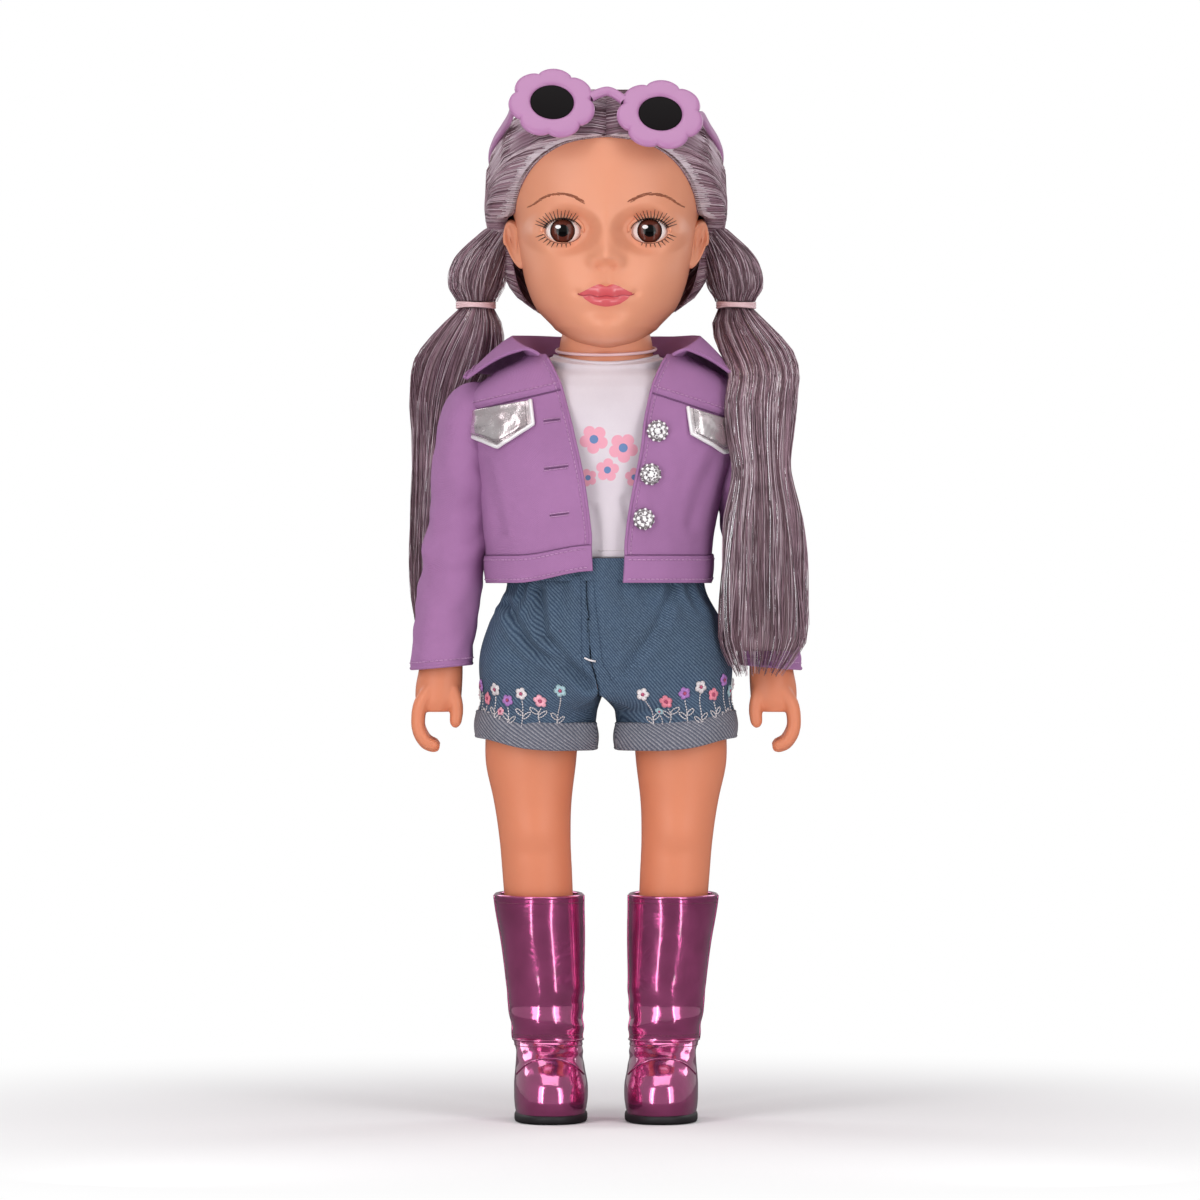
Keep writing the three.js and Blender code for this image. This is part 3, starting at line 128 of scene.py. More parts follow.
class Form:
    """A rounded upright form. Rows are height, x, y, half width, front, back, squareness."""

    def __init__(self, rows, fold=None):
        self.rows = rows
        self.fold = fold

    def at(self, angle, z, lift=0.0):
        """Point at an angle round the form, 0 at +X and a quarter turn at the back."""
        _, x, y, half, front, back, power = between(self.rows, z)
        side, ahead = cos(angle), sin(angle)
        deep = front if ahead < 0 else back
        px = x + signed_power(side, 2 / power) * half
        py = y + signed_power(ahead, 2 / power) * deep
        outward = Vector((signed_power(side, 2 - 2 / power) / half,
                          signed_power(ahead, 2 - 2 / power) / deep, 0))
        if outward.length:
            outward.normalize()
        if self.fold:
            lift += self.fold(px, py, z)
        return Vector((px, py, z)) + outward * lift

    def angle_for(self, across, z):
        """Angle of the front surface at a place across."""
        _, x, _, half, _, _, power = between(self.rows, z)
        share = min(max((across - x) / half, -1), 1)
        return -acos(signed_power(share, power / 2))

    def front(self, across, z, lift=0.0):
        return self.at(self.angle_for(across, z), z, lift)


def shares(count):
    """Shares from 0 to 1 in even steps."""
    return [k / count for k in range(count + 1)]


def turns(count):
    """Angles of a full turn in even steps, the last meeting the first."""
    return [share * TURN for share in shares(count)]


def mirrored(point, side):
    return Vector((point[0] * side, point[1], point[2]))


def full_rows(rows):
    """Rows of height, x, y, half width, depth, squareness with the back as deep as the front."""
    return [(z, x, y, half, deep, deep, power) for z, x, y, half, deep, power in rows]


# Meshes

def make_object(name, points, faces, finish, body, uvs=None, smooth=True):
    """A mesh object from points in millimetres, riding on a body."""
    mesh = bpy.data.meshes.new(name)
    mesh.from_pydata([Vector(point) * MM for point in points], [], faces)
    mesh.validate()
    if uvs:
        layer = mesh.uv_layers.new(name="run")
        for loop in mesh.loops:
            layer.data[loop.index].uv = uvs[loop.vertex_index]
    made = bpy.data.objects.new(name, mesh)
    bpy.context.scene.collection.objects.link(made)
    mesh.materials.append(FINISHES[finish])
    if smooth:
        mesh.polygons.foreach_set("use_smooth", [True] * len(mesh.polygons))
    if body:
        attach(made, body)
    return made


def stands_for(node):
    """Hides a node, so that the piece made for it shows in its place."""
    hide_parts(node)


def grid_faces(across, along, wrap, start=0):
    faces = []
    for i in range(along - 1):
        for j in range(across if wrap else across - 1):
            k = (j + 1) % across
            row, above = start + i * across, start + (i + 1) * across
            faces.append((row + j, row + k, above + k, above + j))
    return faces


def face_outward(made):
    """Turns a surface so that it looks away from its own middle, or from the doll's if it is flat."""
    polygons = made.data.polygons
    whole = sum(p.area for p in polygons)
    middle = sum((p.center * p.area for p in polygons), Vector()) / whole
    away = Vector((middle.x, middle.y, 0))
    outward = sum(p.area * p.normal.dot(p.center - middle + away) for p in polygons)
    if outward < 0:
        made.data.flip_normals()


def sheet_of(name, place, across, along, wrap, finish, body, caps=False):
    """A surface from place(u, v), with u across and v along, both from 0 to 1."""
    points = []
    uvs = []
    for i in range(along):
        v = i / (along - 1)
        for j in range(across):
            u = j / (across if wrap else across - 1)
            points.append(place(u, v))
            uvs.append((u, v))
    faces = grid_faces(across, along, wrap)
    if caps:
        faces = closed_tube(across, along)
    made = make_object(name, points, faces, finish, body, uvs)
    face_outward(made)
    return made


def apply_modifiers(made):
    bpy.context.view_layer.update()
    graph = bpy.context.evaluated_depsgraph_get()
    mesh = bpy.data.meshes.new_from_object(made.evaluated_get(graph))
    made.modifiers.clear()
    made.data = mesh
    return made


def thicken(made, thickness, offset=-1.0, rim=True):
    """Gives a surface the thickness of its cloth or shell, inwards unless told otherwise."""
    step = made.modifiers.new("thickness", "SOLIDIFY")
    step.thickness = thickness * MM
    step.offset = offset
    step.use_rim = rim
    step.use_even_offset = False
    return apply_modifiers(made)


def refine(made, levels=1):
    step = made.modifiers.new("finer", "SUBSURF")
    step.levels = levels
    step.render_levels = levels
    return apply_modifiers(made)


def direction_at(path, i):
    """Which way a path runs at one of its points."""
    return (path[min(i + 1, len(path) - 1)] - path[max(i - 1, 0)]).normalized()


def ring_round(path, i, reach, sides):
    """Points of a circle round a path at one of its points."""
    ahead = direction_at(path, i)
    if not ahead.length:
        ahead = Vector((0, 0, 1))
    side = ahead.cross(Vector((0, 1, 0.01)))
    if side.length < 0.05:
        side = ahead.cross(Vector((1, 0, 0)))
    side.normalize()
    other = ahead.cross(side)
    return [path[i] + side * (cos(a) * reach) + other * (sin(a) * reach) for a in turns(sides)[:-1]]


def closed_tube(sides, count, start=0):
    """Faces of a tube of some rings, with both ends closed."""
    end = start + (count - 1) * sides
    return grid_faces(sides, count, True, start) + [
        tuple(range(start + sides - 1, start - 1, -1)), tuple(range(end, end + sides))]


def tubes(name, paths, radius, sides, finish, body, taper=1.0):
    """Many thin round strands as one mesh. Each path is a list of points."""
    points, faces, uvs = [], [], []
    for number, path in enumerate(paths):
        faces += closed_tube(sides, len(path), len(points))
        for i in range(len(path)):
            share = i / (len(path) - 1)
            points += ring_round(path, i, radius * (1 - (1 - taper) * share), sides)
            uvs += [(number * 0.37 % 1, share)] * sides
    return make_object(name, points, faces, finish, body, uvs)


def curve_through(points, steps):
    """Smooth run of points through the given ones."""
    points = [Vector(point) for point in points]
    last = len(points) - 1
    run = []
    for i in range(last):
        around = (points[max(i - 1, 0)], points[i], points[i + 1], points[min(i + 2, last)])
        for step in range(steps):
            t = step / steps
            run.append(Vector([spline(*(p[k] for p in around), t) for k in range(3)]))
    run.append(points[last])
    return run


def stitches(name, run, pitch, length, radius, finish, body):
    """A row of short raised stitches along a run of points."""
    paths = []
    travelled, target = 0.0, pitch / 2
    for a, b in zip(run, run[1:]):
        step = (b - a).length
        while step and travelled + step >= target:
            middle = a.lerp(b, (target - travelled) / step)
            half = (b - a).normalized() * (length / 2)
            paths.append([middle - half, middle, middle + half])
            target += pitch
        travelled += step
    return tubes(name, paths, radius, 4, finish, body)


# Colours

def linear(red, green, blue, alpha=1.0):
    """Colour as written on a screen, 0 to 255, as the renderer's linear values."""
    values = []
    for value in (red, green, blue):
        value /= 255
        values.append(value / 12.92 if value <= 0.04045 else ((value + 0.055) / 1.055) ** 2.4)
    return (*values, alpha)


# Settings


def chosen(red, green, blue, name, description):
    """A colour setting with its default given in 0 to 255."""
    return bpy.props.FloatVectorProperty(
        name=name, description=description, subtype="COLOR", size=3, min=0, max=1,
        default=linear(red, green, blue)[:3])


def length(metres, name, description):
    return bpy.props.FloatProperty(
        name=name, description=description, default=metres, min=0, precision=4, unit="LENGTH")


def number(count, name, description):
    return bpy.props.IntProperty(name=name, description=description, default=count, min=2)


class DollColours(bpy.types.PropertyGroup):
    """Colours that a user would change"""
    skin: chosen(229, 155, 122, "Face", "Vinyl of the face")
    skin_shade: chosen(220, 142, 108, "Face mottling", "Darker tone that mottles the face")
    # Painted shade: the tone that the face darkens to towards its outline
    skin_edge: chosen(196, 104, 70, "Face, painted edge shade", "Painted shade of the face where it turns away")
    limb: chosen(222, 136, 100, "Limbs", "Vinyl of the arms and legs")
    limb_shade: chosen(212, 124, 88, "Limb mottling", "Darker tone that mottles the limbs")
    # Painted shade: the tone that the limbs darken to towards their outline
    limb_edge: chosen(176, 84, 52, "Limbs, painted edge shade", "Painted shade of a limb where it turns away")
    lips: chosen(212, 92, 98, "Lips", "Lip paint")
    lash: chosen(22, 14, 13, "Lashes", "Bristle lashes and painted ones")
    brow: chosen(168, 100, 70, "Brows", "Brow paint")
    # Hair tones: the dark ones are partly the hair's own and partly painted shade in the gaps between locks;
    # the light one is a painted sheen
    hair_dark: chosen(112, 80, 94, "Hair, dark", "Painted shade in the gaps between the combed locks")
    hair: chosen(166, 130, 148, "Hair", "Middle tone of the combed locks")
    hair_light: chosen(212, 190, 204, "Hair, light", "Painted sheen on the strands of the combed locks")
    tail_dark: chosen(86, 62, 68, "Tails, dark", "Painted shade in the gaps between the locks of the tails")
    tail: chosen(148, 118, 128, "Tails", "Middle tone of the tails")
    glasses: chosen(182, 126, 172, "Glasses", "Plastic of the glasses")
    tee: chosen(222, 212, 219, "T-shirt", "Jersey of the T-shirt")
    petal: chosen(240, 156, 178, "Printed petals", "Flowers printed on the T-shirt")
    heart: chosen(108, 138, 184, "Printed flower hearts", "Middles of the printed flowers")
    jacket: chosen(166, 114, 164, "Jacket", "Twill of the jacket")
    jacket_shade: chosen(144, 96, 143, "Jacket mottling", "Darker tone of the jacket")
    jacket_thread: chosen(194, 146, 190, "Jacket thread", "Top-stitching of the jacket")
    foil: chosen(236, 228, 230, "Pocket flaps", "Silver foil leather")
    denim: chosen(36, 58, 86, "Shorts", "Ground of the denim")
    denim_thread: chosen(124, 148, 170, "Shorts, pale threads", "Pale threads of the denim")
    cuff: chosen(62, 68, 88, "Cuffs", "Back of the denim, turned up")
    boot: chosen(214, 92, 158, "Boots", "Pink foil leather")
    boot_shade: chosen(150, 52, 104, "Boots, shade", "Darker tone of the foil leather")


class DollSizes(bpy.types.PropertyGroup):
    """Sizes and counts that a user would change"""
    jacket_cloth: length(0.0015, "Jacket cloth", "Thickness of the jacket's cloth")
    denim_cloth: length(0.0012, "Denim cloth", "Thickness of the shorts' cloth")
    leather: length(0.0013, "Boot leather", "Thickness of the boots' leather")
    stitch: length(0.0015, "Stitch length", "Length of a top stitch of the jacket")
    stitch_pitch: length(0.0021, "Stitch pitch", "Distance from stitch to stitch on the jacket")
    lash_length: length(0.0046, "Lash length", "Longest bristle of the lashes")
    button: length(0.0049, "Button radius", "Radius of a stone-set button")
    camera_distance: length(3.2, "Camera distance", "From the camera to the middle of the doll")
    view_width: length(0.537, "View width", "Width that the camera sees at the doll")
    camera_height: length(0.232, "Camera height", "Height of the camera above the floor")
    lashes: number(14, "Lashes", "Bristles in each row of lashes")
    brow_strokes: number(110, "Brow strokes", "Painted strokes in each brow")
    loose_hairs: number(1100, "Loose hairs", "Single strands that lie over the combed cap")


def settings():
    return bpy.context.scene.doll_sizes


def mm(name):
    """A chosen size in millimetres."""
    return round(getattr(settings(), name) / MM, 4)


def chosen_colours():
    """Every chosen colour by name, as nodes take it."""
    group = bpy.context.scene.doll_colours
    return {name: (*getattr(group, name), 1.0) for name in DollColours.__annotations__}


# Material parts


def put(tree, kind, links=None, **settings):
    """Adds a node with settings, and with values or sockets for its inputs."""
    made = tree.nodes.new(kind)
    for key, value in settings.items():
        setattr(made, key, value)
    for key, value in (links or {}).items():
        if isinstance(value, bpy.types.NodeSocket):
            tree.links.new(value, made.inputs[key])
        else:
            made.inputs[key].default_value = value
    return made


def sums(tree, operation, first, second=0.0, clamp=False):
    made = put(tree, "ShaderNodeMath", {0: first, 1: second}, operation=operation, use_clamp=clamp)
    return made.outputs[0]


def times(tree, first, second, clamp=False):
    return sums(tree, "MULTIPLY", first, second, clamp)


def plus(tree, first, second):
    return sums(tree, "ADD", first, second)


def minus(tree, first, second):
    return sums(tree, "SUBTRACT", first, second)


def under(tree, first, second):
    return sums(tree, "LESS_THAN", first, second)


def object_place(tree):
    """Coordinates of the doll's frame, in metres."""
    return put(tree, "ShaderNodeTexCoord").outputs["Object"]


def noise_at(tree, place, **settings):
    """A noise's value, with its settings given by their own names."""
    links = {"Vector": place}
    links.update({key.capitalize(): value for key, value in settings.items()})
    return put(tree, "ShaderNodeTexNoise", links).outputs[0]


def spread(tree, value, **settings):
    """A value spread from one range to another."""
    links = {"Value": value}
    links.update({key.replace("_", " ").title(): limit for key, limit in settings.items()})
    return put(tree, "ShaderNodeMapRange", links).outputs[0]


def parts_of(tree, place):
    return put(tree, "ShaderNodeSeparateXYZ", {0: place}).outputs


def place_of(tree, x, y, z):
    return put(tree, "ShaderNodeCombineXYZ", {0: x, 1: y, 2: z}).outputs[0]


def squared(tree, across, up):
    """Square of a distance."""
    return plus(tree, times(tree, across, across), times(tree, up, up))


def colour_by(tree, colour, shader):
    tree.links.new(colour, shader.inputs["Base Color"])


def blended(tree, share, first, second):
    return put(tree, "ShaderNodeMix", {0: share, 6: first, 7: second}, data_type="RGBA").outputs[2]


FLOAT = "NodeSocketFloat"
COLOUR = "NodeSocketColor"


def new_group(name, inputs, outputs):
    """An effect shared by several materials, with its named inputs and outputs."""
    group = bpy.data.node_groups.new(name, "ShaderNodeTree")
    for label, kind, default in inputs:
        socket = group.interface.new_socket(label, in_out="INPUT", socket_type=kind)
        socket.default_value = default
    for label, kind in outputs:
        group.interface.new_socket(label, in_out="OUTPUT", socket_type=kind)
    start = group.nodes.new("NodeGroupInput")
    end = group.nodes.new("NodeGroupOutput")
    return group, start.outputs, end.inputs


def uneven_group():
    """Slow and fine unevenness of a colour."""
    group, start, end = new_group(
        "uneven colour",
        [("Colour", COLOUR, (0.5, 0.5, 0.5, 1)), ("Shade", COLOUR, (0.3, 0.3, 0.3, 1)),
         ("Scale", FLOAT, 60.0), ("Amount", FLOAT, 0.3)],
        [("Colour", COLOUR), ("Mask", FLOAT)],
    )
    cloud = noise_at(group, object_place(group), scale=start["Scale"], detail=4.0, roughness=0.6)
    mask = times(group, spread(group, cloud, from_min=0.35, from_max=0.7), start["Amount"], True)
    group.links.new(blended(group, mask, start["Colour"], start["Shade"]), end["Colour"])
    group.links.new(mask, end["Mask"])
    return group


def twill_group():
    """Slanted ribs of a twill, with the crossing threads between them."""
    group, start, end = new_group(
        "twill",
        [("Pitch", FLOAT, 1100.0), ("Slant", FLOAT, 1.0), ("Wrap", FLOAT, 0.0)],
        [("Height", FLOAT), ("Threads", FLOAT)],
    )
    place = object_place(group)
    x, y, z = parts_of(group, place)
    plain = plus(group, x, y)
    turned = sums(group, "ARCTAN2", x, times(group, y, -1.0))
    wound = times(group, turned, WRAP_RADIUS * MM)
    kept = times(group, plain, minus(group, 1.0, start["Wrap"]))
    flat = plus(group, kept, times(group, wound, start["Wrap"]))
    up = times(group, z, start["Slant"])
    slanted = times(group, plus(group, flat, up), start["Pitch"])
    rib = sums(group, "SINE", times(group, slanted, TURN))
    crossing = times(group, minus(group, flat, z), start["Pitch"])
    cross = sums(group, "SINE", times(group, crossing, 2 * TURN))
    height = plus(group, times(group, rib, 0.35), times(group, cross, 0.15))
    height = plus(group, height, 0.5)
    threads = times(group, height, noise_at(group, place, scale=1400.0, detail=2.0))
    group.links.new(height, end["Height"])
    group.links.new(threads, end["Threads"])
    return group


def strand_group():
    """Fine lines that run along the hair, from the run of the mesh."""
    group, start, end = new_group(
        "strands",
        [("Across", FLOAT, 240.0), ("Along", FLOAT, 3.0)],
        [("Lines", FLOAT), ("Bands", FLOAT)],
    )
    u, v, _ = parts_of(group, put(group, "ShaderNodeTexCoord").outputs["UV"])
    across = times(group, u, start["Across"])
    along = times(group, v, start["Along"])
    lines = noise_at(group, place_of(group, across, along, 0.0), scale=1.0, detail=3.0, roughness=0.7)
    # Wide bands, which the hair's material uses for its painted sheen
    wide = place_of(group, times(group, across, 0.12), along, 3.0)
    group.links.new(lines, end["Lines"])
    group.links.new(noise_at(group, wide, scale=1.0, detail=2.0), end["Bands"])
    return group


# Place across, height, radius and turn of each printed flower
PRINTED_FLOWERS = (
    (-5.4, 303.2, 6.4, 0.4), (7.6, 299.4, 6.6, 1.5), (0.6, 289.6, 5.2, 2.3), (12.5, 286.4, 4.2, 0.9),
    (-8.0, 286.2, 4.0, 1.9),
)


def print_group():
    """Masks of the flowers printed on the shirt's front: petals and hearts."""
    group, _, end = new_group("flower print", [], [("Petals", FLOAT), ("Hearts", FLOAT)])
    across, deep, up = parts_of(group, object_place(group))
    front = under(group, deep, 0.0)
    petals, hearts = None, None
    for x, z, radius, turn in PRINTED_FLOWERS:
        aside = minus(group, across, x * MM)
        above = minus(group, up, z * MM)
        out = sums(group, "DIVIDE", sums(group, "SQRT", squared(group, aside, above)), radius * MM)
        angle = plus(group, sums(group, "ARCTAN2", above, aside), turn)
        wave = sums(group, "ABSOLUTE", sums(group, "COSINE", times(group, angle, 2.5)))
        edge = plus(group, times(group, sums(group, "POWER", wave, 0.6), 0.34), 0.66)
        petal = under(group, out, edge)
        heart = under(group, out, 0.3)
        petals = petal if petals is None else sums(group, "MAXIMUM", petals, petal)
        hearts = heart if hearts is None else sums(group, "MAXIMUM", hearts, heart)
    group.links.new(times(group, petals, front), end["Petals"])
    group.links.new(times(group, hearts, front), end["Hearts"])
    return group


GROUPS = {}


def shared(name):
    """The shared effect of that name, built once."""
    makers = {"uneven": uneven_group, "twill": twill_group, "strands": strand_group, "print": print_group}
    if name not in GROUPS:
        GROUPS[name] = makers[name]()
    return GROUPS[name]


def use_group(tree, name, links=None):
    """Places a shared effect in a material; returns its outputs."""
    return put(tree, "ShaderNodeGroup", links, node_tree=shared(name)).outputs


def mottled(tree, colour, shade, scale, amount):
    """A colour with its slow unevenness."""
    links = {"Colour": colour, "Shade": shade, "Scale": scale, "Amount": amount}
    return use_group(tree, "uneven", links)["Colour"]


def start_material(name, **constants):
    """A new material with its shader; returns material, node tree and shader."""
    material = bpy.data.materials.new(name)
    material.use_nodes = True
    tree = material.node_tree
    shader = tree.nodes["Principled BSDF"]
    for key, value in constants.items():
        shader.inputs[key.replace("_", " ")].default_value = value
    return material, tree, shader


def raise_surface(tree, shader, height, distance, strength=1.0):
    bump = put(tree, "ShaderNodeBump", {"Height": height, "Distance": distance * MM, "Strength": strength})
    tree.links.new(bump.outputs[0], shader.inputs["Normal"])


# Finishes

def vinyl(name, colour, shade, roughness=0.42, edge=None):
    material, tree, shader = start_material(name, Roughness=roughness, Subsurface_Weight=0.08)
    shader.inputs["Subsurface Radius"].default_value = (0.006, 0.003, 0.0015)
    uneven = mottled(tree, colour, shade, 28.0, 0.35)
    # Painted shade: the colour darkens to the edge tone where the surface turns away from the view, towards
    # its outline
    turned = put(tree, "ShaderNodeLayerWeight", {"Blend": 0.4}).outputs["Facing"]
    share = times(tree, sums(tree, "POWER", turned, 3.8), 0.8, True)
    colour_by(tree, blended(tree, share, uneven, edge or shade), shader)
    grain = noise_at(tree, object_place(tree), scale=900.0, detail=2.0)
    raise_surface(tree, shader, grain, 0.05, 0.35)
    return material


def cloth(name, colour, shade, light, pitch, amount=0.5, depth=0.12, threads=0.5, wrap=0.0):
    """Woven cloth: ribs, paler thread tops and a slow unevenness."""
    material, tree, shader = start_material(name, Roughness=0.92, Sheen_Weight=0.12, Sheen_Tint=light)
    uneven = mottled(tree, colour, shade, 45.0, amount)
    weave = use_group(tree, "twill", {"Pitch": pitch, "Wrap": wrap})
    share = times(tree, weave["Threads"], threads, True)
    colour_by(tree, blended(tree, share, uneven, light), shader)
    raise_surface(tree, shader, weave["Height"], depth)
    return material


def printed_cloth(name, colour, shade, light, pitch, petal, heart):
    """Plain jersey with printed flowers."""
    material = cloth(name, colour, shade, light, pitch, 0.3, 0.06)
    tree = material.node_tree
    shader = tree.nodes["Principled BSDF"]
    plain = shader.inputs["Base Color"].links[0].from_socket
    masks = use_group(tree, "print")
    flowers = blended(tree, times(tree, masks["Petals"], 0.85), plain, petal)
    colour_by(tree, blended(tree, masks["Hearts"], flowers, heart), shader)
    return material


def shiny(name, colour, roughness=0.2, **constants):
    material, tree, shader = start_material(name, Roughness=roughness, Base_Color=colour, **constants)
    ripple = noise_at(tree, object_place(tree), scale=90.0, detail=3.0)
    raise_surface(tree, shader, ripple, 0.05, 0.3)
    return material


def foil(name, colour, shade, roughness, crumple_scale, crumple_depth, **constants):
    """Metallic coated leather: bright film over a creased backing."""
    material, tree, shader = start_material(name, Metallic=0.85, **constants)
    place = object_place(tree)
    colour_by(tree, mottled(tree, colour, shade, 70.0, 0.5), shader)
    crease = noise_at(tree, place, scale=crumple_scale, detail=5.0, roughness=0.55, distortion=0.6)
    rough = spread(tree, crease, to_min=roughness - 0.06, to_max=roughness + 0.12)
    tree.links.new(rough, shader.inputs["Roughness"])
    raise_surface(tree, shader, crease, crumple_depth, 0.8)
    return material


def hair_material(name, dark, middle, bright, across, along, roughness=0.38):
    material, tree, shader = start_material(name, Roughness=roughness, Specular_IOR_Level=0.6)
    strand = use_group(tree, "strands", {"Across": across, "Along": along})
    # Dark lines between the strands: partly tone that differs at random, partly painted shade in the gaps
    tone = spread(tree, strand["Lines"], from_min=0.36, from_max=0.66)
    base = blended(tree, tone, dark, middle)
    # Painted sheen: wide bands where the lighter strands take the pale tone
    painted_sheen = spread(tree, strand["Bands"], from_min=0.52, from_max=0.72)
    share = times(tree, painted_sheen, tone, True)
    colour_by(tree, blended(tree, share, base, bright), shader)
    raise_surface(tree, shader, strand["Lines"], 0.5)
    return material


def strand_material(name, colour, shade, roughness, metallic=0.0):
    material, tree, shader = start_material(name, Roughness=roughness, Metallic=metallic)
    colour_by(tree, mottled(tree, colour, shade, 120.0, 0.7), shader)
    return material


def painted_catch_light(tree, across, up):
    """Mask of a painted highlight: the small window-like spot at the upper left of each pupil."""
    masks = []
    for centre in (EYE_X - 2.0, -EYE_X - 2.0):
        aside = sums(tree, "DIVIDE", minus(tree, across, centre * MM), 1.25 * MM)
        raised = sums(tree, "DIVIDE", minus(tree, up, 1.7 * MM), 0.85 * MM)
        masks.append(under(tree, squared(tree, aside, raised), 1.0))
    return sums(tree, "MAXIMUM", *masks)


def eye_material(skin):
    """Painted eye: white, ringed brown iris, black pupil, and the lid's colour on top."""
    material, tree, shader = start_material("painted eye", Roughness=0.12, Specular_IOR_Level=0.3)
    x, y, z = parts_of(tree, object_place(tree))
    side = minus(tree, sums(tree, "ABSOLUTE", x), EYE_X * MM)
    up = minus(tree, z, EYE_Z * MM)
    radius = sums(tree, "DIVIDE", sums(tree, "SQRT", squared(tree, side, up)), IRIS_RADIUS * MM)
    front = under(tree, y, EYE_Y * MM)
    turn = sums(tree, "ARCTAN2", up, side)
    spokes = place_of(tree, times(tree, turn, 9.0), radius, 0.0)
    brown = blended(tree, noise_at(tree, spokes, scale=2.2, detail=3.0), linear(48, 16, 14),
                    linear(112, 52, 36))
    ringed = blended(tree, spread(tree, radius, from_min=0.78, from_max=0.98), brown, linear(20, 8, 8))
    pupil = blended(tree, under(tree, radius, 0.5), ringed, linear(6, 4, 4))
    # Painted highlight on each pupil, near white
    inside = blended(tree, painted_catch_light(tree, x, up), pupil, linear(238, 236, 236))
    within = times(tree, under(tree, radius, 1.0), front)
    ball = blended(tree, within, linear(236, 226, 224), inside)
    lid = sums(tree, "GREATER_THAN", up, 6.6 * MM)
    colour_by(tree, blended(tree, lid, ball, skin), shader)
    return material


FINISHES = {}

# Plain strands, threads and lines: name, colour, shade, roughness and how metallic
STRANDS = {
    "lid_line": ("lid line paint", (120, 60, 46), (90, 44, 36), 0.5),
    "lip_line": ("lip line paint", (176, 50, 66), (160, 46, 58), 0.4),
    "strand_mid": ("lilac strands", (172, 138, 152), (124, 94, 106), 0.35),
    "strand_dark": ("mauve strands", (120, 88, 98), (84, 58, 66), 0.35),
    "strand_light": ("silver strands", (220, 202, 210), (172, 146, 156), 0.25),
    "root_light": ("pale hair roots", (222, 210, 216), (186, 166, 176), 0.3),
    # Short dark strands at the hairline: painted shade between the rooted strands
    "root_gap_shade": ("painted shade between roots", (96, 62, 66), (70, 44, 48), 0.6),
    "tinsel": ("tinsel strands", (240, 238, 240), (200, 196, 204), 0.15, 0.9),
    "jacket_seam": ("purple seam", (112, 70, 112), (92, 54, 92), 0.8),
    "denim_thread": ("blue thread", (44, 66, 96), (30, 44, 70), 0.7),
    "boot_thread": ("boot thread", (124, 62, 86), (84, 40, 60), 0.5),
}
THREADS = {
    "white_thread": (236, 228, 230),
    "pink_thread": (240, 146, 166),
    "lilac_thread": (188, 132, 204),
    "blue_thread": (176, 206, 214),
    "rose_thread": (244, 178, 194),
    "heart_thread": (190, 84, 120),
}


def make_finishes():
    """Every material of the doll, by its name."""
    c = chosen_colours()
    FINISHES.update({
        "face": vinyl("face vinyl", c["skin"], c["skin_shade"], 0.45, c["skin_edge"]),
        "limb": vinyl("limb vinyl", c["limb"], c["limb_shade"], 0.48, c["limb_edge"]),
        "inner": vinyl("plain inner plastic", linear(205, 200, 190), linear(180, 172, 160), 0.6),
        "eye": eye_material(c["skin"]),
        "lash": strand_material("lash bristle", c["lash"], linear(8, 6, 6), 0.5),
        "lips": shiny("lip paint", c["lips"], 0.2, Coat_Weight=0.4),
        "brow": strand_material("brow paint", c["brow"], linear(140, 80, 56), 0.6),
        # Hair and tails: dark tones are partly painted shade in the gaps, pale tones a painted sheen
        "hair": hair_material("combed hair", c["hair_dark"], c["hair"], c["hair_light"], 260, 2.5),
        "tail": hair_material("tail hair", c["tail_dark"], c["tail"], linear(210, 190, 198), 150, 3.0),
        "elastic": shiny("clear elastic", linear(232, 196, 200), 0.35),
        "frame": shiny("lilac glasses plastic", c["glasses"], 0.3),
        "lens": shiny("black lens", linear(12, 7, 9), 0.3, Specular_IOR_Level=0.06),
        "tee": printed_cloth("tee jersey", c["tee"], linear(206, 194, 204), linear(234, 227, 232), 1500,
                             c["petal"], c["heart"]),
        "jacket": cloth("purple twill", c["jacket"], c["jacket_shade"], linear(176, 130, 174), 1250, 0.4),
        "jacket_thread": strand_material("purple thread", c["jacket_thread"], linear(164, 116, 162), 0.7),
        # Painted highlight: the flaps' bound edges take a near-white silver
        "binding_highlight": shiny("silver binding with painted highlight", linear(246, 243, 244), 0.3, Metallic=0.25),
        # The silver is mottled at random with a rosy tone, a painted reflection
        "flap": foil("silver foil leather", c["foil"], linear(186, 146, 156), 0.24, 90, 1.0),
        "denim": cloth("blue denim", c["denim"], linear(20, 36, 60), c["denim_thread"],
                       620, 0.75, 0.22, 1.0, 1.0),
        "denim_back": cloth("pale denim back", c["cuff"], linear(46, 52, 72), linear(186, 184, 190),
                            560, 0.6, 0.22, 1.15, 1.0),
        "boot": foil("pink foil leather", c["boot"], c["boot_shade"], 0.13, 40, 0.8,
                     Coat_Weight=1.0, Coat_Roughness=0.05, Coat_IOR=1.9),
        "sole": shiny("black sole", linear(26, 22, 26), 0.6),
        # Clear stones are pale; their dark facets, in the grey metal below, are painted reflections
        "gem": shiny("clear stone", linear(250, 248, 249), 0.1, Coat_Weight=0.6),
        "grey_metal_and_facet_reflection": shiny("stone setting and painted dark facets", linear(150, 142, 146), 0.2, Metallic=0.6),
    })
    for key, (name, colour, shade, *rest) in STRANDS.items():
        FINISHES[key] = strand_material(name, linear(*colour), linear(*shade), *rest)
    for name, colour in THREADS.items():
        shade = [value * 0.86 for value in colour]
        FINISHES[name] = strand_material(name + " embroidery", linear(*colour), linear(*shade), 0.55)


# Head

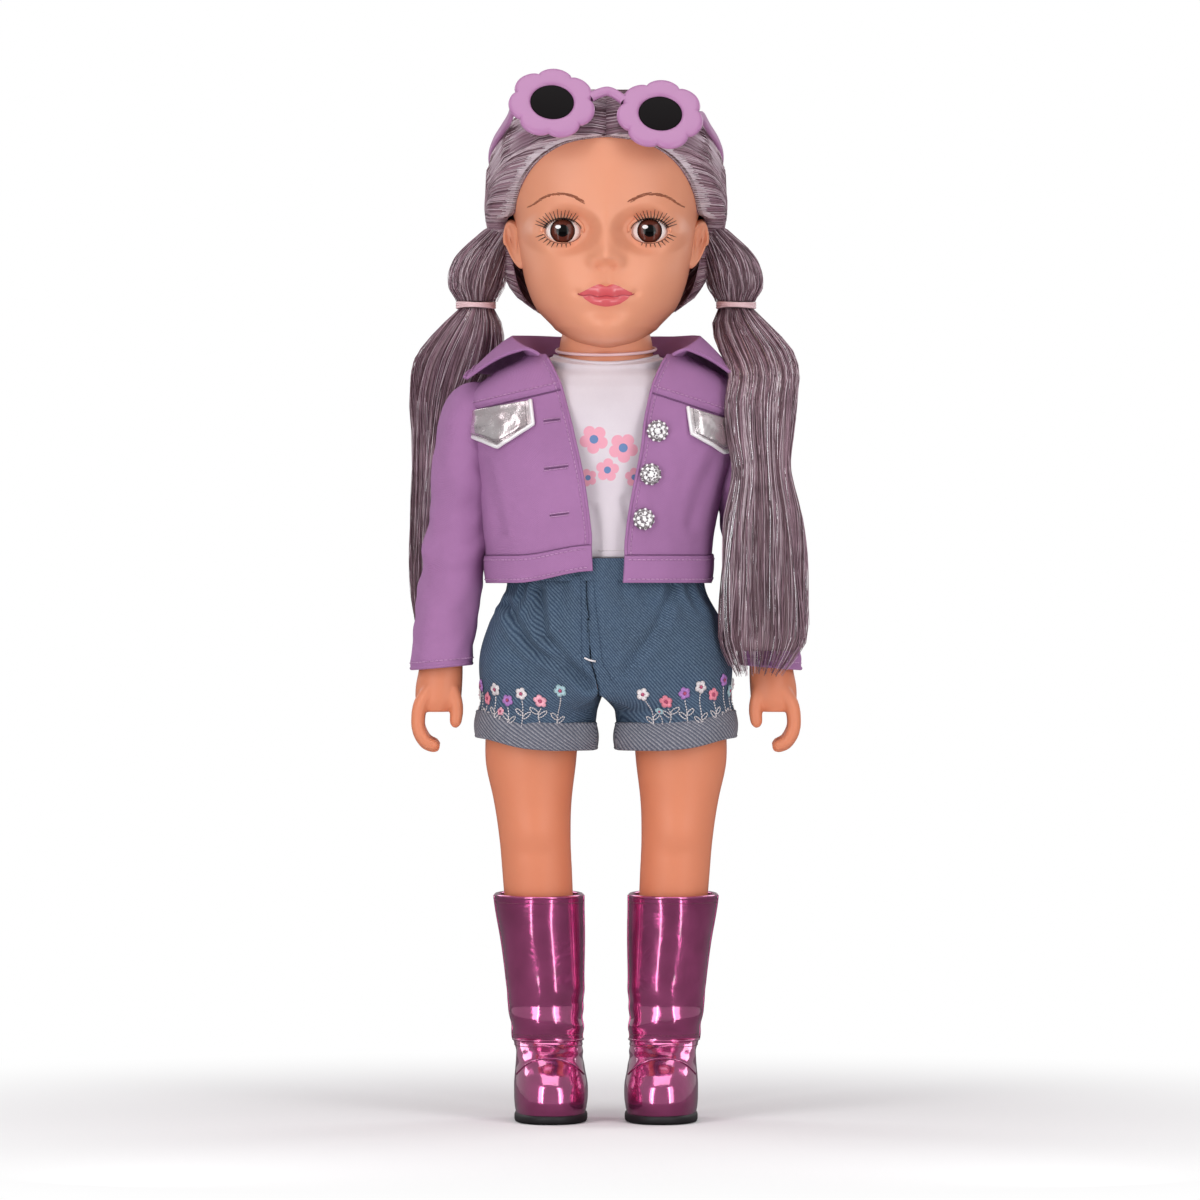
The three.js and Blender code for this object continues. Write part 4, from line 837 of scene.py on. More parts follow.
HEAD_ROWS = [
    (CHIN_Z + up * HEAD_HEIGHT, 0.0, 0.0, side * HEAD_HALF_WIDTH, front * FACE_DEPTH, back * SKULL_DEPTH, 2.2)
    for up, side, front, back in (
        (-0.02, 0.07, 0.5, 0.16), (-0.012, 0.18, 0.72, 0.24), (0.004, 0.31, 0.87, 0.32),
        (0.026, 0.4, 0.94, 0.38), (0.06, 0.51, 0.98, 0.5), (0.145, 0.7, 1, 0.72),
        (0.24, 0.8, 1, 0.87), (0.35, 0.86, 0.99, 0.95), (0.48, 0.905, 0.98, 1), (0.6, 0.97, 0.98, 1),
        (0.73, 1, 0.95, 0.96), (0.84, 0.92, 0.85, 0.85), (0.92, 0.76, 0.68, 0.69), (0.975, 0.52, 0.44, 0.45),
        (1, 0.2, 0.17, 0.17),
    )
]


NECK = Form(full_rows([
    (328, 0, 0, 18.6, 18.6, 2), (335.2, 0, 0, 18.6, 18.6, 2), (335.4, 0, 0, 21.2, 21.2, 2),
    (343, 0, 0, 20.9, 20.9, 2), (348, 0, -1, 20.4, 21, 2), (353, 0, -2, 19, 20, 2),
]))


def features(x, z):
    """How far the modelled features stand out of the plain face."""
    side = abs(x)
    under_nose = 2.7 if z < NOSE_Z - 1 else 6.2
    eye_place = hypot((side - EYE_X) / EYE_OPENING[0], (z - EYE_Z) / EYE_OPENING[1])
    crease = exp(-((eye_place - 1.55) / 0.16) ** 2) if z > EYE_Z else 0
    dip = 1.1 * hill(x, 2.0, z - 371.6, 1.3)
    return (6.4 * hill(x, 5.2, z - NOSE_Z, under_nose)
            + 1.3 * hill(x, 6.0, z - NOSE_Z - 10, 9)
            + 2.2 * hill(side - 5.8, 2.6, z - NOSE_Z + 2.0, 2.9)
            - 1.3 * hill(side - 3.2, 1.3, z - NOSE_Z + 4.4, 1.0)
            - 0.5 * hill(x, 1.5, z - 375, 2.4)
            + 2.5 * hill(x, 9.2, z - 368.9, 2.5) - dip
            + 2.9 * hill(x, 8.0, z - 363.6, 2.6)
            - 1.0 * hill(x, 9.5, z - mouth_line(x), 1.1)
            - 0.8 * hill(side - 13.0, 1.8, z - 367.8, 1.6)
            - 1.0 * hill(x, 8, z - 358.2, 2.0)
            + 1.9 * hill(x, 10, z - 352.4, 5)
            + 1.6 * hill(side - 22, 11, z - 375, 10)
            - 2.7 * hill(side - 13.0, 12.0, z - EYE_Z, 18) - 0.8 * hill(side - EYE_X, 14, z - EYE_Z, 11)
            - 0.4 * crease
            + 0.7 * hill(side - 19, 12, z - 409, 5))


def round_the_eye(x, y, z):
    """Near an eye the face wraps round the ball, as lids do."""
    dx, dz = abs(x) - EYE_X, z - EYE_Z
    apart = hypot(dx / EYE_OPENING[0], dz / EYE_OPENING[1])
    if apart > 2.3:
        return y
    share = 1 - min(max((apart - 1.0) / 1.3, 0), 1)
    share = share * share * (3 - 2 * share)
    wrap = EYE_RADIUS + 1.25
    lid = EYE_Y - sqrt(max(wrap * wrap - dx * dx - dz * dz, (0.7 * wrap) ** 2))
    lid -= (0.9 if dz > 0 else 0.5) * exp(-((apart - 1.16) / 0.15) ** 2)
    lid += 0.7 * exp(-((apart - 1.5) / 0.1) ** 2) * (1 if dz > 0 else 0.2)
    return y + (lid - y) * share


def face_point(x, z, lift=0.0):
    """Point of the front of the face at a place across and up."""
    _, _, _, half, front, _, power = between(HEAD_ROWS, z)
    share = min(abs(x) / half, 0.999)
    depth = (1 - share ** power) ** (1 / power)
    y = -front * depth - features(x, z) * min(1, 2 * depth)
    return Vector((x, round_the_eye(x, y, z) - lift, z))


def head_heights():
    """Rings gather between chin and brow, where the features are."""
    low, eye_top, top = HEAD_ROWS[0][0], EYE_Z + 20, HEAD_ROWS[-1][0]
    fine = [low + (eye_top - low) * i / 104 for i in range(104)]
    crown = [eye_top + (top - eye_top) * sin(i / 34 * pi / 2) for i in range(35)]
    return fine + crown


def head_ring(z, count):
    _, _, _, half, front, back, power = between(HEAD_ROWS, z)
    ring = []
    for i in range(count):
        even = i / count * TURN
        angle = even + 0.55 * sin(even) + pi / 2
        side, deep = cos(angle), sin(angle)
        x = signed_power(side, 2 / power) * half
        y = signed_power(deep, 2 / power) * (front if deep < 0 else back)
        if deep < 0:
            y = round_the_eye(x, y - features(x, z) * min(1, -2 * deep), z)
        ring.append((x, y, z))
    return ring


def carve(made, tool):
    """Cuts one mesh with another, which is then thrown away."""
    step = made.modifiers.new("cut", "BOOLEAN")
    step.operation = "DIFFERENCE"
    step.solver = "EXACT"
    step.object = tool
    apply_modifiers(made)
    made.data.polygons.foreach_set("use_smooth", [True] * len(made.data.polygons))
    bpy.data.objects.remove(tool)


def make_head():
    count = 220
    rings = [head_ring(z, count) for z in head_heights()]
    points = [point for ring in rings for point in ring]
    head = make_object("head", points, closed_tube(count, len(rings)), "face", None)
    for _, side in SIDES:
        tool_points = []
        for y in (EYE_Y - 2.0, -60.0):
            for i in range(56):
                angle = i / 56 * TURN
                tall = EYE_OPENING[1] * (1 - 0.1 * side * cos(angle) * 0.5)
                tool_points.append((side * EYE_X + cos(angle) * EYE_OPENING[0], y,
                                    EYE_Z + sin(angle) * tall))
        tool = make_object("eye hole", tool_points, closed_tube(56, 2), "face", None)
        carve(head, tool)
    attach(head, "head")
    stands_for("head_shell")

    neck = sheet_of("neck", lambda u, v: NECK.at(u * TURN, 328 + 25 * v), 64, 40, True, "face", "head")
    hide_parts("head_shell")
    for name, side in SIDES:
        make_ear(name, side)


def make_ear(name, side):
    """A shell of an ear: rolled rim, hollow bowl, the small flap in front and the lobe."""
    middle = Vector((side * EAR_PLACE[0], EAR_PLACE[1], EAR_PLACE[2]))
    wide = Vector((side * 0.86, 0.5, 0.0)).normalized()
    tall = Vector((side * 0.1, 0.06, 1.0)).normalized()
    out = Vector((side * 0.5, -0.86, 0.0)).normalized()

    def place(u, v):
        angle = u * TURN
        narrow = 5.2 * (1 - 0.12 * max(0, -sin(angle)))
        z = sin(angle) * 11.2 * v
        x = cos(angle) * narrow * v - 0.13 * (11.2 - z)
        rim = 1.5 * exp(-((v - 0.84) / 0.13) ** 2) * (0.35 + 0.65 * max(0.0, cos(angle * 0.5 - 0.4)))
        bowl = -1.9 * hill(x + 0.6, 2.2, z - 0.5, 4.6)
        flap = 1.3 * hill(x + 3.2, 1.1, z + 1.0, 2.2)
        fold = 0.8 * hill(x - 0.6, 0.9, z - 5.4, 3.0)
        lift = 1.6 + rim + bowl + flap + fold - 10.4 * max(0, v - 0.9)
        return middle + wide * x + tall * z + out * lift

    ear = sheet_of(f"ear_{name}", place, 56, 26, True, "face", None)
    thicken(ear, 2.6)
    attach(ear, "head")
    stands_for("head_shell")


# Painted face

def face_patch(name, place, across, along, finish, lift=0.09):
    """A film of paint on the face. place(u, v) gives the place across and up."""
    patch = sheet_of(name, lambda u, v: face_point(*place(u, v), lift), across, along, False, finish, "head")


def both_sides(half):
    """A table from its middle outwards, given the mirrored rows of the other side."""
    return [(-place, *rest) for place, *rest in reversed(half[1:])] + [tuple(row) for row in half]


LIP_TOP = both_sides([(0, 370.2), (2.4, 371.1), (4.8, 370.6), (8.8, 368.7), (11.6, 367.5)])
LIP_LOW = both_sides([(0, 361.2), (5.8, 362.3), (9.2, 364.5), (11.6, 366.9)])


def mouth_line(x):
    """Height of the line between the lips, lifted at the corners."""
    return MOUTH_Z - 0.5 + 1.3 * (x / 12.4) ** 2 + 0.3 * cos(x * 0.9)


def round_opening(side, first, sweep, out, lift):
    """Points round an eye's opening, from a first angle in degrees over a sweep."""
    run = []
    for i in range(31):
        angle = radians(first + sweep * i / 30)
        run.append(face_point(side * EYE_X + cos(angle) * (EYE_OPENING[0] + out),
                              EYE_Z + sin(angle) * (EYE_OPENING[1] + out), lift))
    return run


def make_face_paint():
    def lips(u, v):
        x = -11.5 + 23.0 * u
        low = between(LIP_LOW, x)[1]
        top = between(LIP_TOP, x)[1]
        return x, low + (top - low) * v

    face_patch("lip_paint", lips, 90, 40, "lips", 0.2)
    line = [face_point(x, mouth_line(x), 0.16) for x in [-12.4 + 24.8 * i / 40 for i in range(41)]]
    tubes("lip_line", [line], 0.34, 6, "lip_line", "head", taper=0.6)

    rng = random.Random(5)
    for name, side in SIDES:
        arch = [(9.0, 407.4), (13.5, 409.8), (19, 411.2), (26, 410.2), (33.5, 406.6)]
        strokes = []
        count = settings().brow_strokes
        for i in range(count):
            t = i / (count - 1)
            x = 9.4 + 24.1 * t
            z = between(arch, x)[1] + rng.uniform(-0.75, 0.6) * (1 - 0.75 * t)
            reach = 2.2 * (1 - 0.3 * t)
            rise = 1.0 * (1 - t) - 0.4 * t
            run = [(side * (x + reach * s), z + rise * s) for s in (0, 0.5, 1)]
            strokes.append([face_point(px, pz, 0.02) for px, pz in run])
        tubes(f"brow_{name}", strokes, 0.2, 4, "brow", "head", taper=0.5)

        low = []
        for i in range(9):
            share = i / 8
            angle = radians(-112 + 96 * share)
            x, z = EYE_X + cos(angle) * (EYE_OPENING[0] + 0.7), EYE_Z + sin(angle) * (EYE_OPENING[1] + 0.7)
            reach = 1.1 + 1.7 * share + 0.3 * sin(i * 1.9)
            out, up = cos(angle) * 0.75 + 0.45 * share, sin(angle) * 0.85 - 0.1
            low.append([face_point(side * (x + out * reach * s), z + up * reach * s, 0.27)
                        for s in shares(4)])
        tubes(f"lower_lash_paint_{name}", low, 0.25, 4, "lash", "head", taper=0.3)
        rim = round_opening(side, -165, 150, 0.35, -0.05)
        tubes(f"lower_lid_line_{name}", [rim], 0.2, 6, "lid_line", "head")

        upper = []
        for i in range(25):
            angle = radians(-2 + 172 * i / 24)
            flick = 1.4 * max(0, 1 - i / 3)
            upper.append(face_point(side * (EYE_X + cos(angle) * (EYE_OPENING[0] + 0.2 + flick)),
                                    EYE_Z + sin(angle) * (EYE_OPENING[1] + 0.2) + flick * 0.3, -0.1))
        tubes(f"lid_line_{name}", [upper], 0.34, 6, "lash", "head", taper=0.6)
        lid = round_opening(side, -4, 188, 1.2, -0.2)
        tubes(f"lid_roll_{name}", [lid], 0.7, 8, "face", "head")


def make_eyes():
    for name, side in SIDES:
        def ball(u, v):
            turn, tilt = u * TURN, (v - 0.5) * pi
            across = sin(tilt) * EYE_RADIUS
            ring = cos(tilt) * EYE_RADIUS
            dome = 0.45 * hill(across, 5.2, cos(turn) * ring, 5.2) if sin(turn) < 0 else 0
            return Vector((side * EYE_X + across, EYE_Y + sin(turn) * (ring + dome),
                           EYE_Z + cos(turn) * ring))

        eye = sheet_of(f"eye_{name}", ball, 96, 64, True, "eye", f"eye_{name}", caps=True)
        stands_for(f"eyeball_{name}")

        hairs = []
        count = settings().lashes
        for i in range(count):
            share = i / (count - 1)
            angle = radians(128 - 112 * share)
            reach = mm("lash_length") * (0.62 + 0.38 * share + 0.08 * sin(i * 2.3))
            across = cos(angle + 0.22 * (1 - share)) * (1.0 + 0.15 * share)
            up = sin(angle) + 0.12
            root_x = cos(angle) * EYE_OPENING[0] * 0.95
            root_z = sin(angle) * EYE_OPENING[1] * 0.95
            root_y = EYE_Y - sqrt(EYE_RADIUS ** 2 - root_x ** 2 - root_z ** 2)
            run = [Vector((side * (EYE_X + root_x), root_y - 0.4, EYE_Z + root_z))]
            for s in (0.15, 0.4, 0.7, 1):
                x = side * (EYE_X + root_x + across * reach * s)
                run.append(face_point(x, EYE_Z + root_z + up * reach * s, 0.4 + 1.3 * s))
            hairs.append(curve_through(run, 3))
        lashes = tubes(f"lashes_{name}", hairs, 0.31, 5, "lash", f"eye_{name}", taper=0.4)
        stands_for(f"eyelashes_{name}")


# Hair

def hair_reach(direction):
    """Distance from the middle of the hair to its surface."""
    x, y, z = direction
    across = abs(x) / HAIR_REACH[0]
    deep = abs(y) / (HAIR_REACH[1] if y < 0 else HAIR_REACH[2])
    up = abs(z) / (HAIR_RISE if z > 0 else HAIR_FALL)
    power = 2.2
    return (across ** power + deep ** power + up ** power) ** (-1 / power)


HAIRLINE_X = [(436.5, 0), (434.2, 16), (429.6, 25.6), (424.0, 32), (416.5, 37.0), (405.0, 40.4)]


def root_loop():
    """Where the hair of the +X side is rooted: hairline, behind the ear, nape and parting."""
    run = [face_point(x, z) for z, x in HAIRLINE_X]
    run += [Vector((43.5, -6, 403)), Vector((44.5, 4, 399)), Vector((42.5, 9, 386)), Vector((38, 15, 370)),
            Vector((28, 28, 361)), Vector((14, 38, 359)), Vector((0, 44, 360)), Vector((0, 52.5, 380)),
            Vector((0, 55, 410)), Vector((0, 45, 440)), Vector((0, 24, 454.5)), Vector((0, 0, 458.5)),
            Vector((0, -24, 454.5)), Vector((0, -39, 446)), face_point(0, 436.5)]
    return curve_through(run, 10)


def combed(root, share, t, side, lift=0.0):
    """A place along one combed strand, from its root to the gathered bunch."""
    centre = Vector(HAIR_MIDDLE)
    start = root - centre
    over = Vector((50, 2, 412)).lerp(Vector((44, 40, 394)), min(max((share - 0.25) * 2.2, 0), 1)) - centre
    end = Vector((51, 15, 388)) - centre
    direction = (start.normalized() * (1 - t) ** 2 + over.normalized() * (2 * t * (1 - t))
                 + end.normalized() * t * t)
    direction.normalize()
    outer = hair_reach(direction)
    rooted = max(0.0, 1 - t / 0.2) ** 2
    reach = outer * (1 - rooted) + (start.length + 0.6) * rooted
    point = centre + direction * (reach + lift)
    point.x *= side
    return point


def locks_at(u, t):
    """How far the combed locks stand out, least at the roots and the bunch."""
    wave = sin(u * LOCKS * TURN) + 0.6 * sin(u * LOCKS * 3.7 * pi + 1.3)
    return 0.45 * wave * min(1, t * 5) * (1 - t)


def make_hair():
    loop = root_loop()
    count = len(loop)

    def root_at(u):
        place = u * (count - 1)
        low = min(int(place), count - 2)
        return loop[low].lerp(loop[low + 1], place - low)

    rng = random.Random(11)
    for name, side in SIDES:
        def place(u, v):
            return combed(root_at(u), u, v, side, -0.7 + locks_at(u, v))

        cap = sheet_of(f"hair_{name}", place, 360, 44, True, "hair", "head")
        stands_for("hair_cap")

        groups = {"strand_mid": [], "strand_dark": [], "strand_light": []}
        for _ in range(settings().loose_hairs):
            u = rng.random()
            kind = rng.choices(("strand_mid", "strand_dark", "strand_light"), (5, 3, 3))[0]
            lift = rng.uniform(-0.35, 0.35)
            sway = rng.uniform(-0.012, 0.012)
            root = root_at(u)
            groups[kind].append([combed(root, u + sway * t * 4, t, side, lift - 0.2 + locks_at(u, t))
                                 for t in shares(15)[:-1]])
        groups["root_light"], groups["root_gap_shade"] = [], []
        for i in range(ROOT_HAIRS):
            u = max((i + rng.uniform(-0.4, 0.4)) / ROOT_HAIRS * 0.3, 0)
            root = root_at(u)
            # Every third root gets a short dark strand, painted shade between the roots
            kind = "root_gap_shade" if i % 3 == 2 else rng.choice(("root_light", "root_light", "strand_light"))
            reach = 0.014 if kind == "root_gap_shade" else rng.uniform(0.03, 0.07)
            lift = 0.55 if kind == "root_gap_shade" else rng.uniform(0.1, 0.4)
            groups[kind].append([combed(root, u, t * reach, side, lift) for t in shares(5)])
        for kind, strands in groups.items():
            thick = 0.2 if kind.startswith("root") else 0.17
            made = tubes(f"{kind}_{name}", strands, thick, 4, kind, "head", taper=0.8)


BUNCH_ROWS = full_rows([
    (366.1, 58.5, 15, 7.6, 7.2, 2.0), (372.3, 58.7, 15, 11.2, 9.6, 2.0), (380.8, 57.2, 15, 12.4, 10.6, 2.0),
    (388.8, 53.8, 15, 11.2, 10.2, 2.0), (398, 47.5, 14, 7.4, 8.2, 2.0), (403, 44, 13, 3.0, 4.0, 2.0),
])
LEFT_TAIL_ROWS = full_rows([
    (ELASTIC_Z - 1.6 - down, BUNCH_X + out, BUNCH_Y + forward, half, deep, 2.0)
    for down, out, forward, half, deep in reversed((
        (0, 0, 0, 7.2, 7.2), (8, 2.5, -5, 12.2, 8.7), (19, 8, -17, 15.2, 8.4), (30, 11.5, -31, 14.7, 7.2),
        (42, 10, -40.5, 15.2, 6.7), (58, 10, -42, 13.7, 6.7), (73, 11, -41.5, 12.2, 6.7),
        (95, 11.5, -41, 16.2, 6.7), (123, 11.5, -40, 17.4, 6.7), (148, 11.5, -39.5, 17.2, 6.2),
        (157, 10.6, -39, 13.6, 5.0), (165, 9.6, -38.6, 9.4, 3.4),
    ))
])
RIGHT_TAIL_ROWS = full_rows([
    (ELASTIC_Z - 1.6 - down, BUNCH_X + out, BUNCH_Y + forward, half, deep, 2.0)
    for down, out, forward, half, deep in reversed((
        (0, 0, 0, 7.2, 7.2), (8, 2.5, 1, 13.2, 9.2), (22, 7.5, 5, 18.2, 9.7), (38, 12.5, 11.5, 16.2, 9.2),
        (55, 15.5, 14.5, 12.7, 8.7), (78, 17.5, 14.5, 11.2, 8.7), (103, 19.5, 14, 9.7, 8.2),
        (128, 21, 13.5, 7.7, 7.2), (149, 22.5, 13, 3.7, 4.2),
    ))
])


def hank(name, rows, side, top, bottom, strands, seed, node, ragged, lobes=7):
    """A hank of hair: a grooved core with loose strands over it."""
    rng = random.Random(seed)
    span = top - bottom

    def along(angle, v, lift):
        z = top - span * v
        groove = 0.05 * cos(lobes * angle + z / 13) + 0.025 * cos(17 * angle - z / 21)
        _, x, y, half, deep, _, _ = between(rows, z)
        reach = 1 + groove + lift
        return mirrored((x + cos(angle) * half * reach, y + sin(angle) * deep * reach, z), side)

    end = 0.93 if ragged else 1.0
    core = sheet_of(name, lambda u, v: along(u * TURN, v * end, -0.05), 72, 70, True, "tail",
                    "head", caps=True)
    stands_for(node)
    groups = {"strand_mid": [], "strand_dark": [], "strand_light": [], "tinsel": []}
    for _ in range(strands):
        kind = rng.choices(tuple(groups), (5, 5, 2.6, 0.5 if ragged else 0.0))[0]
        angle = rng.uniform(0, TURN)
        lift = rng.uniform(-0.06, 0.05)
        drift = rng.uniform(-0.5, 0.5)
        curl = rng.uniform(0, 6.3)
        first = 0.0 if rng.random() < 0.7 else rng.uniform(0, 0.4)
        last = rng.uniform(0.84, 1.0) if ragged else 1.0
        run = []
        for k in range(25):
            v = first + (last - first) * k / 24
            sway = 0.02 * sin(curl + v * 9) * v
            stray = 0.16 * v ** 3 * sin(curl * 3)
            run.append(along(angle + drift * v, v, lift + sway + stray))
        groups[kind].append(run)
    for kind, runs in groups.items():
        if runs:
            reach = 0.2 if kind != "tinsel" else 0.26
            made = tubes(f"{name}_{kind}", runs, reach, 3, kind, "head", taper=0.7)


def make_bunches():
    for name, side in SIDES:
        hank(f"bunch_{name}", BUNCH_ROWS, side, 403, 366.1, 260, 21 + side, f"hair_bunch_{name}", False, 5)
        coil = [[Vector((side * BUNCH_X + cos(a) * 8.5, BUNCH_Y + sin(a) * 8.2,
                         ELASTIC_Z + turn * 0.8 + 0.3 * sin(2 * a + turn))) for a in turns(30)]
                for turn in (-1.0, 0.0, 1.0)]
        band = tubes(f"elastic_{name}", coil, 0.62, 7, "elastic", "head")
        stands_for(f"hair_elastic_{name}")
    top = ELASTIC_Z - 1.6
    hank("tail_left", LEFT_TAIL_ROWS, 1, top, top - 165, 620, 31, "pigtail_left", True)
    hank("tail_right", RIGHT_TAIL_ROWS, -1, top, top - 149, 520, 37, "pigtail_right", True)
    ring = [Vector((cos(a) * 22.2, sin(a) * 22.2, 343.9 + 2.9 * sin(a) + 0.3 * cos(a))) for a in turns(64)]
    cord = tubes("neck_elastic_ring", [ring], 0.72, 8, "elastic", "head")
    stands_for("neck_elastic")


# Sunglasses

GLASSES_PLACE = Vector((0, -46, 448.5))
GLASSES_TILT = radians(-35)
GLASSES_ROLL = radians(6)
LENS_SPACING = 48
LENS_RADIUS = 10.3
FLOWER_RADIUS = 19.6
PETALS = 7


def worn(point):
    """From the flat layout of the glasses to their place on the head."""
    turn = Matrix.Rotation(GLASSES_ROLL, 3, "Y") @ Matrix.Rotation(GLASSES_TILT, 3, "X")
    return turn @ Vector(point) + GLASSES_PLACE


def make_sunglasses():
    inner = [(LENS_RADIUS + out, deep) for out, deep in (
        (-0.8, 0.9), (-0.8, -0.6), (-0.5, -1.3), (0.3, -1.7), (1.8, -1.85), (3.4, -1.8))]
    outer = ((-1.8, -1.65), (-0.6, -1.2), (0, 0.0), (-0.6, 1.1), (-1.6, 1.5))
    back = [(LENS_RADIUS + 1, 1.5), (LENS_RADIUS - 0.8, 0.9)]
    for name, side in SIDES:
        middle = side * LENS_SPACING / 2

        def place(u, v):
            angle = u * TURN
            wave = abs(cos(PETALS * angle / 2)) ** 0.62
            edge = FLOWER_RADIUS * (0.87 + 0.13 * wave)
            rows = inner + [(edge + out, deep) for out, deep in outer] + back
            radius, deep = rows[round(v * (len(rows) - 1))]
            return worn((middle + sin(angle) * radius, deep, cos(angle) * radius))

        rim = sheet_of(f"flower_{name}", place, 196, len(inner) + len(outer) + len(back), True, "frame", None)
        refine(rim)
        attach(rim, "sunglasses")
        stands_for("glasses_frame")

        def glass(u, v):
            angle, radius = u * TURN, (1 - 0.96 * v) * (LENS_RADIUS - 0.25)
            return worn((middle + sin(angle) * radius, -0.75 - 0.7 * (1 - (radius / LENS_RADIUS) ** 2),
                         cos(angle) * radius))

        lens = sheet_of(f"shade_{name}", glass, 64, 12, True, "lens", None, caps=True)
        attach(lens, "sunglasses")
        stands_for(f"lens_{name}")
        make_temple(name, side)

    gap = LENS_SPACING / 2 - FLOWER_RADIUS
    arch = curve_through([(-gap - 3.2, 0, 5.6), (-gap, 0, 8.2), (0, 0, 10.2), (gap, 0, 8.2),
                          (gap + 3.2, 0, 5.6)], 8)
    points = []
    for i, point in enumerate(arch):
        ahead = direction_at(arch, i)
        up = Vector((-ahead.z, 0, ahead.x))
        points += [worn(point + up * (2.3 * signed_power(cos(a), 0.7)) + Vector((0, 1.5 * sin(a), 0)))
                   for a in turns(16)[:-1]]
    faces = grid_faces(16, len(arch), True)
    bridge = make_object("bridge", points, faces, "frame", "sunglasses")
    stands_for("glasses_frame")


def make_temple(name, side):
    root = worn((side * (LENS_SPACING / 2 + FLOWER_RADIUS - 3), 0, 0))
    run = curve_through([
        root, (side * 42.4, -34, 446), (side * 45.6, -17, 442), (side * 49.6, 0, 437),
        (side * 51.8, 13, 431), (side * 50.6, 24, 425),
    ], 8)
    points = []
    count = 14
    for i, point in enumerate(run):
        ahead = direction_at(run, i)
        flat = ahead.cross(Vector((0, 0, 1))).normalized()
        tall = flat.cross(ahead).normalized()
        high = 2.4 - 0.7 * i / (len(run) - 1)
        points += [point + flat * (signed_power(cos(a), 0.6) * 1.1)
                   + tall * (signed_power(sin(a), 0.6) * high)
                   for a in turns(count)[:-1]]
    temple = make_object(f"temple_{name}", points, closed_tube(count, len(run)), "frame",
                         "sunglasses")
    stands_for("glasses_frame")


# Clothes

TORSO_ROWS = full_rows([
    (192 + up * 143, 0, 0, 45.5 * side, 30 * deep, 2.4)
    for up, side, deep in (
        (0, 0.64, 0.73), (0.06, 0.9, 0.9), (0.14, 1.01, 0.93), (0.28, 0.97, 0.92), (0.42, 0.9, 0.95),
        (0.6, 0.94, 0.98), (0.77, 0.99, 1), (0.87, 1, 0.95), (0.94, 0.88, 0.85), (0.98, 0.68, 0.78),
        (1, 0.54, 0.74),
    )
])
TEE_BOTTOM, TEE_TOP = 250.8, 339.5
JACKET_ROWS = full_rows([
    (z, drawn, 0, 59.6 * side + drawn, 38.5 * deep, 2.5)
    for z, drawn, side, deep in (
        (238.0, -3.4, 0.89, 0.945), (251.8, -3.4, 0.905, 0.955), (265, -3.2, 0.93, 0.975),
        (285, -2.0, 0.97, 1),
        (300, -0.6, 1.01, 0.985), (313, 0, 1.03, 0.9), (324, 0, 1.0, 0.79), (333, 0, 0.84, 0.715),
        (342, 0, 0.58, 0.66),
    )
])
JACKET_BOTTOM, JACKET_TOP, BAND_TOP = 239.6, 341.5, 251.6
FRONT_OPENING = [(235, 6.0), (249, 6.6), (260, 6.8), (285, 9.8), (309, 15), (328, 20), (340, 25.5), (352, 32)]
OPENING_EXTRA = [(235, 1.5), (262, 2.0), (295, 3.0), (315, 1.0), (352, 0.0)]
FLAPS = {
    "left": ((36.1, 317.6), (61.0, 309.8), (61.6, 301.6), (52.0, 297.6), (37.3, 305.8)),
    "right": ((-33.4, 320.8), (-61.0, 315.8), (-62.0, 306.2), (-47.2, 299.8), (-32.0, 310.0)),
}
YOKES = {"left": ((20.6, 324.6), (62.0, 311.4)), "right": ((-19.6, 326.2), (-62.0, 316.6))}
BUTTONHOLES = ((-24.0, 311.6, 7.4), (-22.0, 290.6, 10.6), (-20.6, 269.6, 8.4))
BUTTONS = ((22.6, 306.8), (19.4, 287.6), (16.4, 267.8))


def smooth_step(value):
    value = min(max(value, 0), 1)
    return value * value * (3 - 2 * value)


def groove(x, z, line, depth, width):
    """A fold's groove along a line, with a soft ridge beside it."""
    near = 1e9
    for (ax, az), (bx, bz) in zip(line, line[1:]):
        run = Vector((bx - ax, bz - az))
        share = min(max(Vector((x - ax, z - az)).dot(run) / run.length_squared, 0), 1)
        near = min(near, hypot(x - ax - run.x * share, z - az - run.y * share))
    return depth * (0.45 * exp(-((near - 2.2 * width) / width) ** 2) - exp(-(near / width) ** 2))


# Flat patterns before sewing: strips of (lower width, upper width, height), from girths round the
# body under each garment, with its seams closed flat
CUTS = {
    "tee": ((241, 255, 50), (255, 232, 24), (232, 145, 25)),
    "jacket": ((275, 290, 34), (290, 287, 28), (287, 263, 12), (263, 213, 11), (213, 145, 12.5)),
    "waistband": ((278, 278, 12),),
    "collar": ((142, 163, 10.5), (163, 188, 26.5)),
    "sleeve": ((92, 98, 95), (98, 108, 13), (108, 101, 9)),
    "shorts_half": ((178, 187, 15), (162, 160, 15), (160, 154, 17.5), (154, 147, 21.5)),
    "shorts_waist": ((286, 286, 10.2),),
    "cuff": ((185, 185, 10.8),),
}


def top_stitches(name, run, body="torso"):
    """A row of the jacket's top stitching."""
    return stitches(name, run, mm("stitch_pitch"), mm("stitch"), 0.3, "jacket_thread", body)


def finish_cloth(made, thickness, cut):
    """Works out the size of a piece's flat cut, which nothing uses, then gives the piece its thickness."""
    strips = CUTS[cut]
    width = max(max(low, high) for low, high, _ in strips) * MM
    height = sum(tall for _, _, tall in strips) * MM
    area = sum((low + high) / 2 * tall for low, high, tall in strips) * MM * MM
    thicken(made, thickness)


def make_torso():
    """The plain plastic under the clothes and the face keeps its fixed shape and takes a finish."""
    for name, finish in (("torso_shell", "limb"), ("hip_rod", "limb"), ("eye_cup_left", "inner"),
                         ("eye_cup_right", "inner")):
        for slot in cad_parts[name].material_slots:
            slot.material = FINISHES[finish]


